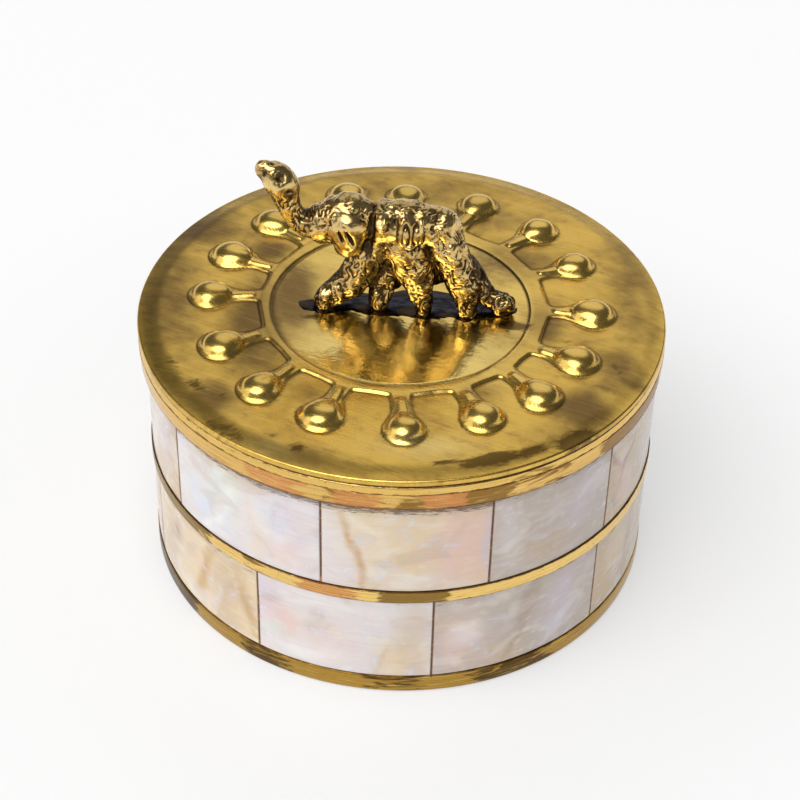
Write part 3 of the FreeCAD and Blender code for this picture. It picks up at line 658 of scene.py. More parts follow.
mouth.data.materials.append(band_brass("mouth_brass", RIM_TOP, POT_HEIGHT, tone(232, 192, 108),
                                       tone(166, 130, 66), 90, edge=0.3))
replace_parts(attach(rim, "box"), "rim_band")
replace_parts(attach(mouth, "box"), "mouth_ring")


# The lid: one brass sheet with its edge turned down, worked up from below into a ring and sixteen
# drops on stems, then chased round their outline from above. Hand-laid, so no two sit quite alike.
LID_RADIUS, LID_FOOT, LID_TOP, LID_SHEET, LID_SHOULDER = 60.1, 62.2, 64.9, 0.9, 0.55
LID_DROOP, LID_SHIFT = 0.95, -0.45
DROPS = [(357.4, 43.0), (22.8, 43.1), (43.9, 44.2), (66.7, 44.2), (90.0, 44.1), (108.0, 46.6),
         (135.0, 44.7), (156.4, 44.3), (177.6, 44.2), (202.8, 43.5), (226.0, 44.1), (247.2, 43.9),
         (271.0, 44.5), (293.4, 43.4), (312.9, 43.7), (333.4, 43.0)]
RING_INNER, RING_CENTRE, RING_OUTER, RING_RISE = 29.7, (-0.9, -0.5), 33.2, 0.5
DROP_PITCH = 360 / len(DROPS)
PLATFORM_RADIUS, PLATFORM_RISE, DOME_RADIUS, DOME_RISE = 5.05, 0.36, 4.35, 2.5
NECK_HALF, NECK_LENGTH, BAR_HALF, BAR_RISE, BAR_START, BAR_TIP = 1.85, 12.5, 1.4, 0.66, 3.2, 33.4
LINE_HALF, LINE_DEPTH = 0.3, 0.17

# Brown stains, broad hazes and the places rubbed brightest, as (x, y, half lengths along and
# across, lean, strength). The hazes are partly tarnish and partly painted shade, which darkens the
# lid where it reflects dim surroundings, most of all at its back.
STAINS = [(10, -54.4, 5, 0.8, 6, 0.8), (19, -53, 8, 2.0, 17, 1.0), (28, -49.8, 5, 1.5, 26, 0.8),
          (37, -45.5, 6, 2.2, 36, 1.0), (-37, -45, 9, 2.4, -39, 0.6), (-50, -24, 6, 1.6, -62, 0.5),
          (43, -37, 4, 1.0, 45, 0.35), (-21, -50.8, 2.4, 1.7, 0, 0.65), (-26, -47.5, 4, 1.0, -20, 0.4),
          (-44.5, -31, 4.0, 2.0, -45, 0.6), (-38, -35, 2, 3.0, -40, 0.4),
          (17.6, -10.6, 1.3, 0.8, -10, 1.0), (24.5, -7.0, 5, 1.8, -10, 1.0), (-20, -5.6, 5, 1.3, -6, 0.7),
          (-6, -5.6, 7, 1.1, 0, 0.55), (9, -7.2, 7, 1.0, -4, 0.6), (17, -7.6, 3, 1.6, 10, 0.7),
          (-36, 16.8, 4, 0.8, -12, 0.5), (-49, 12, 3, 1.2, 30, 0.3), (37, -12, 4, 1.2, 15, 0.35),
          (47, -22, 1.2, 6, 20, 0.4), (-26, 5, 1.5, 6, 15, 0.3), (-12, -40.5, 4, 1.0, 0, 0.3),
          (12, -41, 3, 1.0, 10, 0.3)]
TARNISH_AND_SHADE_HAZES = [(-53, 2, 8, 27, 8, 0.65), (-32, -8, 8, 20, 0, 0.95), (-47, 30, 8, 10, -30, 0.7),
         (-30, 32, 12, 8, 30, 0.5), (38, -36, 7, 8, -40, 0.85), (32, -6, 5, 9, 0, 0.9),
         (25, 18, 12, 8, 0, 0.8), (48, -22, 6, 9, 20, 0.65), (52, 8, 6, 30, 0, 0.5),
         (0, 48, 45, 12, 0, 0.42), (12, 36, 14, 6, 0, 0.6), (-40, -35, 6, 5, -40, 0.8),
         (-32, 20, 5, 5, 0, 0.85), (17, -31, 5, 4, 0, 0.6), (-6, -10, 7, 4, 0, 0.7),
         (3, -41, 5, 5, 0, 0.25), (-19, -53, 7, 3, -15, 0.55), (40, -13, 8, 5, 10, 0.4),
         (-25, 2, 5, 13, 4, 1.2), (24, -13, 6, 6, 0, 0.4), (-19, -33, 5, 4, 0, 0.4),
         (-30, 44, 9, 7, 30, 0.5), (31, -45, 7, 5, 35, 0.4), (46, -28, 5, 5, 0, 0.5)]
RUBBED = [(-1, -17, 17, 11, 0, 1.0), (5, -49.5, 10, 3.5, 0, 0.55), (-27, -51, 5, 2, -28, 0.4)]


def drop_relief(x, y):
    """Height of the raised work over the flat lid, how much of a chased line is there, and how
    polished it is. The raised ground is one shape: the nearest of the ring's scalloped outer edge,
    each drop's circle and its neck, joined by smooth minima of their distances. On it stand a dome for
    each drop, sqrt(1 - d^2) drawn out a little towards its stem, and a tapering bar along the neck."""
    radius, turn = np.hypot(x, y), np.arctan2(y, x)

    def joined(a, b, reach):
        share = np.clip(0.5 + 0.5 * (b - a) / reach, 0, 1)
        return b + (a - b) * share - reach * share * (1 - share)

    angles = np.radians([angle for angle, _ in DROPS])
    nearest = np.abs((turn[..., None] - angles + np.pi) % (2 * np.pi) - np.pi).argmin(-1)
    off = (turn - angles[nearest] + np.pi) % (2 * np.pi) - np.pi
    between = np.clip(np.abs(off) / np.radians(DROP_PITCH / 2), 0, 1)
    ground = radius - (RING_OUTER + 0.15 - 0.75 * between ** 0.7 + 0.12 * wander(turn, 21, (5, 9, 14, 23)))
    from_ring = np.hypot(x - RING_CENTRE[0], y - RING_CENTRE[1]) - RING_INNER
    dome, bar = np.zeros_like(x), np.zeros_like(x)
    dice = np.random.default_rng(5)
    for angle, distance in DROPS:
        a = np.radians(angle)
        wide, tall, lean, blunt = dice.uniform((0.93, 0.93, -0.1, 0.0), (1.06, 1.05, 0.1, 1.0))
        out = x * np.cos(a) + y * np.sin(a) - distance
        side = y * np.cos(a) - x * np.sin(a)
        near = (np.hypot(out, side) < 16) & (radius > 24)
        o, s = out[near], side[near] - lean * np.clip(-out[near], 0, 12)
        inward = np.clip(-o / 6.0, 0, 1)
        stretched = np.hypot(np.where(o < 0, o * 0.86, o), s * (1 + 0.25 * inward))
        circle = stretched - PLATFORM_RADIUS * wide
        neck = np.maximum(np.abs(s) - (NECK_HALF + 0.25 * blunt), np.maximum(o, -o - NECK_LENGTH))
        ground[near] = joined(ground[near], joined(circle, neck, 1.8), 1.0)
        cap = np.sqrt(np.clip(1 - (stretched / (DOME_RADIUS * wide)) ** 2, 0, 1))
        dome[near] = np.maximum(dome[near], DOME_RISE * tall * cap)
        start, tip = -BAR_START, -(distance - BAR_TIP - 0.9 * blunt)
        run = np.clip((o - start) / (tip - start), 0, 1)
        half = (BAR_HALF + 0.2 * blunt) * (1 - 0.55 * (1 - 0.6 * blunt) * run ** 2)
        end = climb(-o, 2.6, 3.4) * (1 - climb(-o + tip, -0.9 - 0.6 * blunt, 0.5))
        across = np.sqrt(np.clip(1 - (s / half) ** 2, 0, 1))
        bar[near] = np.maximum(bar[near], (BAR_RISE + 0.12 * blunt) * end * across)
    inside = climb(from_ring, -0.28, 0.12)
    platform = climb(-ground, -0.3, 0.3)
    crown = RING_RISE * np.sqrt(np.clip(1 - ((radius - 31.4) / 2.2) ** 2, 0, 1))
    flat = np.maximum(PLATFORM_RISE * platform, crown * climb(-ground, -0.3, 0.5))
    height = inside * flat + np.maximum(dome, bar) * (1 - 0.12 * (dome < 0.05))
    outline = np.exp(-((ground - 0.38) / LINE_HALF) ** 2) * (from_ring > 1)
    inner_line = np.exp(-((from_ring + 0.35) / LINE_HALF) ** 2)
    height -= LINE_DEPTH * (outline + inner_line)
    height -= 0.16 * np.exp(-(np.clip(ground, 0, 9) / 2.6) ** 2) * (from_ring > 0)
    edge_of_dome = np.exp(-((dome - 0.05) / 0.35) ** 2) * (ground < 0) * (dome > 0)
    lines = np.clip(outline + inner_line + 0.5 * edge_of_dome, 0, 1)
    polish = np.clip(climb(height, 0.3, 1.0) + 0.5 * platform * (from_ring > 0), 0, 1)
    return height, lines, polish


def spread_marks(x, y, places):
    """The strongest of the places at each point: strength times exp(-d^2) on leaning axes."""
    strongest = np.zeros_like(x)
    for centre_x, centre_y, half_long, half_wide, lean, strength in places:
        c, s = np.cos(np.radians(lean)), np.sin(np.radians(lean))
        d = ((x - centre_x) * c + (y - centre_y) * s) / half_long
        e = ((y - centre_y) * c - (x - centre_x) * s) / half_wide
        strongest = np.maximum(strongest, strength * np.exp(-d * d - e * e))
    return strongest


def hammered(place):
    """Height of the long low waves that the hammer left in the lid's sheet."""
    return 0.075 * ripples(place, 21, 3) + 0.022 * ripples(place, 8, 4)


def make_lid():
    """Rows follow the sheet's section from the middle of the top, over the shoulder, round the edge
    and back under to the middle; the columns crowd towards each drop, by 0.7 t + 0.3 t^3 on both
    sides of it. The relief is added to the top and, one sheet lower, to the underside."""
    top = np.concatenate([np.arange(0, 28, 2.0), np.arange(28, 34.4, 0.22), np.arange(34.4, 38.6, 0.38),
                          np.arange(38.6, 50.2, 0.32), np.arange(50.2, 59.3, 0.7)])
    arc = np.linspace(0, np.pi / 2, 9)
    corner = LID_RADIUS - LID_SHOULDER
    outside = LID_TOP - LID_DROOP
    shoulder = np.stack([corner + LID_SHOULDER * np.sin(arc),
                         outside - LID_SHOULDER * (1 - np.cos(arc))], axis=1)
    inner = LID_RADIUS - LID_SHEET
    edge = [(LID_RADIUS, LID_FOOT + 1.0), (LID_RADIUS - 0.05, LID_FOOT + 0.5),
            (LID_RADIUS - 0.25, LID_FOOT + 0.15), (LID_RADIUS - 0.5, LID_FOOT), (inner + 0.2, LID_FOOT),
            (inner, LID_FOOT + 0.2), (inner, LID_FOOT + 0.8), (inner - 0.6, outside - LID_SHEET)]
    under = np.concatenate([np.arange(57, 50.2, -1.4), np.arange(50.2, 38.6, -0.5),
                            np.arange(38.6, 34.6, -0.6), np.arange(34.6, 30.2, -0.42),
                            np.arange(30.2, 29, -0.6), np.arange(28, -1, -4.0)])
    droop, droop_under = (LID_DROOP * climb(run, 54.5, 60.2) for run in (top, under))
    section = np.concatenate([np.stack([top, LID_TOP - droop], axis=1), shoulder, edge,
                              np.stack([under, LID_TOP - LID_SHEET - droop_under], axis=1)])
    t = np.linspace(-1, 1, 34, endpoint=False)
    offsets = DROP_PITCH / 2 * (0.7 * t + 0.3 * t ** 3)
    even = (np.arange(len(DROPS))[:, None] * DROP_PITCH + offsets).reshape(-1)
    laid = [angle - 360 if angle > 350 else angle for angle, _ in DROPS]
    laid = [laid[-1] - 360, *laid, laid[0] + 360]
    turn = np.radians(np.interp(even, np.arange(-1, len(DROPS) + 1) * DROP_PITCH, laid))
    radius, height = section[:, :1] + 0 * turn, section[:, 1:] + 0 * turn
    radius = radius * (1 + 0.0006 * wander(turn, 33))
    x, y = radius * np.cos(turn), radius * np.sin(turn)
    around = ((0, 0), (1, 1), (1, -1), (-1, 1), (-1, -1))
    relief, lines, polish = np.mean([drop_relief(x + 0.17 * a, y + 0.17 * b) for a, b in around], axis=0)
    beaten = hammered(np.stack([x, y, 0 * x], axis=-1))
    plain = 1 - climb(radius, 57.5, 59.3)
    row = np.arange(len(section))[:, None]
    on_top, beneath = 1.0 * (row < len(top)), 1.0 * (row >= len(section) - len(under))
    height = height + (on_top * (relief + beaten) + beneath * (np.clip(relief, 0, 9) + beaten)) * plain
    height[0], height[-1] = height[0].mean(), height[-1].mean()
    marks = {
        "lines": lines * on_top,
        "polish": polish * on_top,
        "disc": (1 - climb(radius, 28.8, 29.8)) * on_top,
        "stain": spread_marks(x, y, STAINS),
        "haze_tarnish_and_shade": spread_marks(x, y, TARNISH_AND_SHADE_HAZES),
        "rubbed": spread_marks(x, y, RUBBED) * on_top,
    }
    shifted = x + LID_SHIFT * climb(radius, 50, 58)
    lid = skin("lid_sheet", np.stack([shifted, y, height], axis=-1), "tips", marks)
    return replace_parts(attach(lid, "lid"), "lid_disc")


def lid_brass(lid):
    """Old polished brass: gold where hands rub, olive clouds that are partly tarnish and partly painted
    shade, brush scratches mostly one way, brown dirt in the chased lines and in the stains, and a
    painted shade along the lower edge, where the lid comes down on the box. The plain disc in the ring
    is the brightest, most of all where it is rubbed in front of the elephant."""
    f = Finish("lid_brass", {"Metallic": 1.0})
    clouds = f.cloud((20, 15, 20), detail=4, rough=0.6, bend=0.8)
    small = f.cloud((5, 3, 4), detail=4, rough=0.65, turn=(0, 0, -25), shift=3)
    brushed = f.cloud((20, 0.3, 3), detail=4, rough=0.65, turn=(0, 0, -24), shift=6)
    crossed = f.cloud((14, 0.5, 3), detail=3, rough=0.6, turn=(0, 0, 58), shift=16)
    smudge = f.cloud((3.4, 1.2, 2), detail=5, rough=0.65, bend=0.6, turn=(0, 0, 20), shift=25)
    specks = f.rise(f.cloud((0.9, 0.7, 0.8), detail=3, rough=0.6, shift=40), 0.68, 0.75)
    planished = f.cells((2.6, 2.6, 2.6), shift=8)
    polish, lines, disc, rubbed, stain = map(f.mark, ("polish", "lines", "disc", "rubbed", "stain"))
    haze_tarnish_and_shade = f.mark("haze_tarnish_and_shade") * 0.95 + (clouds - 0.5) * 0.9 + (small - 0.5) * 0.6
    # The olive share: tarnish, and painted shade where the hazes stand for dim reflections.
    tarnish = f.rise(haze_tarnish_and_shade, -0.15, 0.85) * (1 - polish * 0.75)
    soiled = f.rise(stain + (smudge - 0.5) * 1.2, 0.26, 0.66) * f.rise(stain, 0.03, 0.3)
    # Painted shade along the lid's lower edge, where it comes down on the box.
    parting_shade = f.rise(f.along("Z"), (LID_FOOT + 0.75) * MM, (LID_FOOT + 0.25) * MM)
    colour = f.layers(
        tone(234, 192, 92),
        (disc, tone(240, 204, 110)),
        (f.math("MAXIMUM", rubbed * 0.9, polish * 0.16), tone(254, 232, 156)),
        # Olive: tarnish, and painted shade where the hazes stand for dim reflections.
        (tarnish * (1 - rubbed), tone(132, 104, 58)),
        (f.rise(small, 0.54, 0.74, 0.0, 0.3) * (1 - polish), tone(140, 106, 58)),
        (f.rise(brushed, 0.56, 0.7, 0.0, 0.22), tone(116, 88, 48)),
        (f.rise(brushed, 0.44, 0.32, 0.0, 0.22), tone(238, 202, 124)),
        (specks * (1 - polish) * 0.5, tone(90, 64, 34)),
        (soiled * 0.8, tone(80, 55, 28)),
        # Brown in the chased lines, and painted shade along the lid's lower edge.
        (f.math("MAXIMUM", f.rise(lines, 0.25, 0.9, 0.0, 0.75), parting_shade * 0.9), tone(86, 60, 28)),
    )
    roughness = brushed * (0.3 - disc * 0.2) + tarnish * 0.1 + soiled * 0.12 + 0.05
    roughness = roughness + (1 - polish) * (0.08 - disc * 0.06) + polish * 0.04
    fine = f.dents(brushed * 0.8 + crossed * 0.35 + specks * -0.3 + soiled * -0.3, 0.016)
    f.wear(lid, Base_Color=colour, Roughness=roughness,
           Normal=f.dents(small * (1 + disc * 3.5) + planished * polish * 1.2, 0.03, under=fine))


lid_brass(make_lid())


# The collar: a ring of brass sheet soldered under the lid. It drops inside the wall with a loose fit
# and keeps the lid from sliding off. Seen only when the lid is lifted.
COLLAR_INSIDE, COLLAR_FACE, COLLAR_FOOT, COLLAR_TOP = 55.2, 55.9, 57.5, 64.0
collar = turned("collar_sheet", rounded([(COLLAR_INSIDE, COLLAR_FOOT), (COLLAR_FACE, COLLAR_FOOT),
                (COLLAR_FACE, COLLAR_TOP), (COLLAR_INSIDE, COLLAR_TOP)], 0.15, step=1.5), out=0.02, seed=15)
collar.data.materials.append(bpy.data.materials["pot_brass"])
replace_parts(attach(collar, "lid"), "lid_collar")


# The elephant: one small solid brass casting, rough from the mould, with trunk raised and legs
# astride. Hands have rubbed its high places gold, and the hollows have stayed brown. Its colour
# also carries painted shade between the legs, under the body, on its tops and on its right-hand
# sides, and painted light on its under faces and its upper body.
FIGURE_Y = 0.3
# Each limb's rounds from end to end, as (x, y, height over the lid, radius)
LIMBS = {
    "trunk_and_body": [(7.6, 0, 20.8, 4.4), (1.0, 0, 22.0, 5.3), (-5.0, 0, 22.0, 5.2), (-9.5, 0, 21.6, 4.4),
                       (-13.6, 0, 22.4, 5.2), (-18.3, 0, 21.4, 4.4), (-22.2, 0, 21.7, 3.2),
                       (-24.8, 0, 23.8, 2.6), (-26.2, 0, 27.4, 2.8), (-27.0, 0, 30.9, 3.6),
                       (-28.8, 0, 33.5, 3.5), (-30.9, 0, 35.2, 2.1)],
    "forehead": [(-9.5, 0, 23.6, 4.2), (-13.0, 0, 24.3, 4.8), (-17.6, 0, 22.4, 4.2)],
    "foreleg_stretched": [(-7.0, 0, 16.5, 4.2), (-9.7, -0.4, 11.0, 4.3), (-12.4, -1.1, 6.6, 3.8),
                          (-17.7, -2.0, 2.5, 2.9)],
    "foreleg_folded": [(-1.5, 1.0, 14.0, 3.4), (-4.2, -0.2, 8.0, 2.9), (-5.8, -1.8, 2.1, 2.6)],
    "foreleg_near": [(-0.6, -1.0, 17.4, 4.9), (1.6, -1.6, 12.4, 4.7), (3.2, -2.4, 7.4, 3.6),
                     (4.1, -3.1, 3.4, 2.3), (4.4, -3.5, 0.9, 1.8)],
    "hind_leg_near": [(9.0, -0.8, 17.0, 4.6), (11.0, -1.4, 12.8, 4.2), (12.9, -2.3, 8.6, 3.8),
                      (13.9, -3.3, 4.4, 2.9), (14.2, -3.8, 1.2, 2.3)],
    "hind_leg_far": [(10.0, 0.8, 14.0, 3.6), (14.2, -0.2, 9.0, 3.5), (18.2, -1.4, 4.4, 2.3),
                     (22.4, -2.6, 2.3, 2.7)],
    "tail": [(10.2, 0.0, 22.2, 1.3), (12.2, 0.0, 18.2, 1.1), (11.9, 0.0, 14.0, 1.0)],
}
# The ears, and what fills out the limbs, as (x, y, height over the lid), half lengths and lean
EARS = [((-12.6, -3.5, 21.0), (4.0, 2.5, 6.1)), ((-12.2, 3.8, 21.4), (3.8, 1.4, 5.2))]
SWELLINGS = {
    "rump": ((7.8, 0, 20.3), (4.7, 4.8, 5.7), 0),
    "ear_bulge": ((-12.4, -3.2, 22.9), (3.9, 3.1, 3.8), 0),
    "between_hind_legs": ((7.7, 0.8, 10.8), (3.8, 2.8, 5.8), 0),
    "between_forelegs": ((-2.8, 0.6, 9.4), (3.6, 2.6, 5.6), 0),
    "jaw": ((-16.5, 0, 19.3), (4.6, 2.6, 2.4), 22),
}
# The cloth's parts as (middle along the body, half width, heights of the hem and the top), its ovals
# as (middle, height, half width, half height), the ear's slits as those and a lean, and its rim
PANELS = [(-5.5, 1.5, 23.0, 27.4), (1.1, 2.7, 18.6, 29.0)]
OVALS = [(0.0, 22.0, 0.8, 2.5), (2.3, 21.9, 0.8, 2.5)]
SLITS = [(-14.4, 21.6, 0.62, 1.9, 21), (-12.3, 21.5, 0.62, 2.8, 25)]
EAR_RIM_MIDDLE, EAR_RIM_HALVES, EAR_RIM_LEAN = (-13.4, 21.8), (2.5, 3.9), (0.92, 0.39)
NOSTRIL = (-27.4, -3.1, 35.2)
FINEST = 0.27


def spline(rows, count):
    """Points on a smooth curve through the rows, by cubic pieces whose slope at each row is half the
    step between its two neighbours."""
    rows = np.array(rows, float)
    slope = np.gradient(rows, axis=0)
    t = np.linspace(0, len(rows) - 1, count)
    k = np.minimum(t.astype(int), len(rows) - 2)
    u = (t - k)[:, None]
    return ((2 * u ** 3 - 3 * u ** 2 + 1) * rows[k] + (u ** 3 - 2 * u ** 2 + u) * slope[k]
            + (3 * u ** 2 - 2 * u ** 3) * rows[k + 1] + (u ** 3 - u ** 2) * slope[k + 1])


def tube(rows, columns=36):
    """Circles across a spline through (x, y, z, radius) rows, closed by a half ball at each end."""
    path = spline(rows, 10 * len(rows))
    centre, radius = path[:, :3], path[:, 3:]
    heading = np.gradient(centre, axis=0)
    heading /= np.linalg.norm(heading, axis=1, keepdims=True)
    quarter = np.linspace(0, np.pi / 2, 8)[::-1, None]
    start = centre[0] - heading[0] * radius[0] * np.sin(quarter)
    finish = (centre[-1] + heading[-1] * radius[-1] * np.sin(quarter))[::-1]
    line = np.concatenate([start, centre[1:-1], finish])
    ring = np.concatenate([radius[0] * np.cos(quarter), radius[1:-1], (radius[-1] * np.cos(quarter))[::-1]])
    way = np.concatenate([np.repeat(heading[:1], 8, 0), heading[1:-1], np.repeat(heading[-1:], 8, 0)])
    side = np.cross(way, [0, 1, 0])
    side /= np.linalg.norm(side, axis=1, keepdims=True)
    other = np.cross(way, side)
    turn = np.linspace(0, 2 * np.pi, columns, endpoint=False)[None, :, None]
    return line[:, None] + ring[:, None] * (np.cos(turn) * side[:, None] + np.sin(turn) * other[:, None])


def egg(centre, halves, lean=0.0, columns=32):
    """An ellipsoid with the given half lengths, leaning about the Y axis by an angle in degrees."""
    rise, turn = np.meshgrid(np.linspace(-np.pi / 2, np.pi / 2, 20),
                             np.linspace(0, 2 * np.pi, columns, endpoint=False), indexing="ij")
    ball = np.stack([np.cos(rise) * np.cos(turn), np.cos(rise) * np.sin(turn), np.sin(rise)], axis=-1)
    c, s = np.cos(np.radians(lean)), np.sin(np.radians(lean))
    return ball * halves @ np.array([[c, 0, -s], [0, 1, 0], [s, 0, c]]) + centre


def pits(points, size, seed):
    """For each point, the distance to the nearest of one random spot per cube of a lattice, in cube
    widths. Each spot's place in its cube comes from mixing the cube's three numbers with large ones."""
    scaled = points / size
    cube = np.floor(scaled).astype(np.int64)
    best = np.full(len(points), 9.0)
    for step in np.ndindex(3, 3, 3):
        corner = cube + np.array(step) - 1
        mixed = (corner * [73856093, 19349663, 83492791]).sum(1) ^ (seed * 9176213)
        spot = []
        for _ in range(3):
            mixed = (mixed * 1103515245 + 12345) % 2147483648
            spot.append((mixed >> 8) % 4096 / 4096)
        best = np.minimum(best, ((scaled - corner - np.stack(spot, axis=1)) ** 2).sum(1))
    return np.sqrt(best)


def softened(points, edges, rounds, strength=0.6):
    """Each point moves towards the mean of its neighbours, the given number of times over."""
    count = np.bincount(edges.reshape(-1), minlength=len(points))[:, None].clip(1)
    for _ in range(rounds):
        total = np.stack([
            np.bincount(edges[:, 0], points[edges[:, 1], k], len(points))
            + np.bincount(edges[:, 1], points[edges[:, 0], k], len(points)) for k in range(3)], axis=1)
        points = points + strength * (total / count - points)
    return points


def grown_together(name, shapes):
    """One closed mesh round all the shapes, by remeshing them on a fine lattice."""
    lump = bpy.data.meshes.new(name + "_lump")
    points, faces, start = [], [], 0
    for shape in shapes:
        one = skin(name + "_part", shape, "tips")
        co = np.empty(len(one.data.vertices) * 3)
        one.data.vertices.foreach_get("co", co)
        points.append(co.reshape(-1, 3))
        faces += [[start + corner for corner in face.vertices] for face in one.data.polygons]
        start += len(one.data.vertices)
        used = one.data
        bpy.data.objects.remove(one)
        bpy.data.meshes.remove(used)
    lump.from_pydata(np.concatenate(points).tolist(), [], faces)
    holder = bpy.data.objects.new(name, lump)
    bpy.context.scene.collection.objects.link(holder)
    remesh = holder.modifiers.new("remesh", "REMESH")
    remesh.mode, remesh.voxel_size, remesh.adaptivity = "VOXEL", FINEST * MM, 0
    seen = holder.evaluated_get(bpy.context.evaluated_depsgraph_get())
    mesh = bpy.data.meshes.new_from_object(seen)
    holder.modifiers.clear()
    holder.data = mesh
    bpy.data.meshes.remove(lump)
    mesh.name = name
    return holder


def cloth_marks(x, z):
    """How much each point is on the saddle cloth, on the lip inside its edge and on the outlines of
    its ovals. Each part of the cloth is an upright line, widened all round by half its width."""
    cloth, lip, ovals = np.zeros((3, len(x)))
    for middle, half, hem, top in PANELS:
        gap = np.hypot(np.abs(x - middle), np.maximum(hem + half - z, z - top + half).clip(0)) - half
        cloth = np.maximum(cloth, climb(-gap, -0.2, 0.35))
        lip = np.maximum(lip, np.exp(-((gap + 0.65) / 0.4) ** 2))
    for middle, height, half, tall in OVALS:
        from_line = np.hypot((x - middle) / half, (z - height) / tall) - 1
        ovals = np.maximum(ovals, np.exp(-(from_line / 0.3) ** 2))
    return cloth, lip, ovals


def ear_marks(x, y, z):
    """How much each point is on an ear, in a slit and on the rolled rim, all by leaning ellipses."""
    ear, slits = np.zeros((2, len(x)))
    for place, halves in EARS:
        outer = np.hypot((x - place[0]) / halves[0], (z - place[2]) / halves[2])
        ear = np.maximum(ear, climb(-outer, -1.05, -0.88) * climb(y * np.sign(place[1]), 2.4, 3.4))
    for middle, height, half, tall, lean in SLITS:
        c, s = np.cos(np.radians(lean)), np.sin(np.radians(lean))
        along, across = (z - height) * c - (x - middle) * s, (x - middle) * c + (z - height) * s
        slits = np.maximum(slits, climb(1 - np.hypot(across / half, along / tall), 0.0, 0.5))
    (middle, height), (half, tall), (c, s) = EAR_RIM_MIDDLE, EAR_RIM_HALVES, EAR_RIM_LEAN
    along, across = (z - height) * c - (x - middle) * s, (x - middle) * c + (z - height) * s
    rim = np.exp(-((np.hypot(across / half, along / tall) - 1) / 0.13) ** 2)
    return ear, slits, rim


def hide_relief(points, z, smooth_part):
    """What the mould left, in mm: lumps all over, and where the casting isn't smooth two nets of
    creases and scattered pocks, in patches, drawn out upwards and stirred by ripples."""
    stirred = points + 1.1 * np.stack([ripples(points, 4.5, seed) for seed in (65, 66, 67)], axis=-1)
    stirred = stirred * [1, 1, 0.5]
    patchy = np.maximum(0.3 + 0.7 * climb(ripples(points, 6.5, 68), -0.5, 0.5), 0.85 * climb(-z, -18, -14))
    coarse = (1 - smooth_part) * (1 - 0.55 * climb(z, 27, 30)) * patchy
    creases = 0.3 * np.exp(-(ripples(stirred, 2.7, 63, 18) / 0.2) ** 2)
    creases += 0.1 * np.exp(-(ripples(stirred, 1.5, 64, 24) / 0.22) ** 2)
    lumps = 0.26 * ripples(points * [1, 1, 0.6], 4.6, 61) + 0.08 * ripples(stirred, 1.9, 62, 20)
    pocks = 0.22 * (1 - climb(pits(stirred, 2.2, 3), 0.1, 0.32))
    return lumps * (0.45 + 0.55 * coarse) - (creases + pocks) * coarse


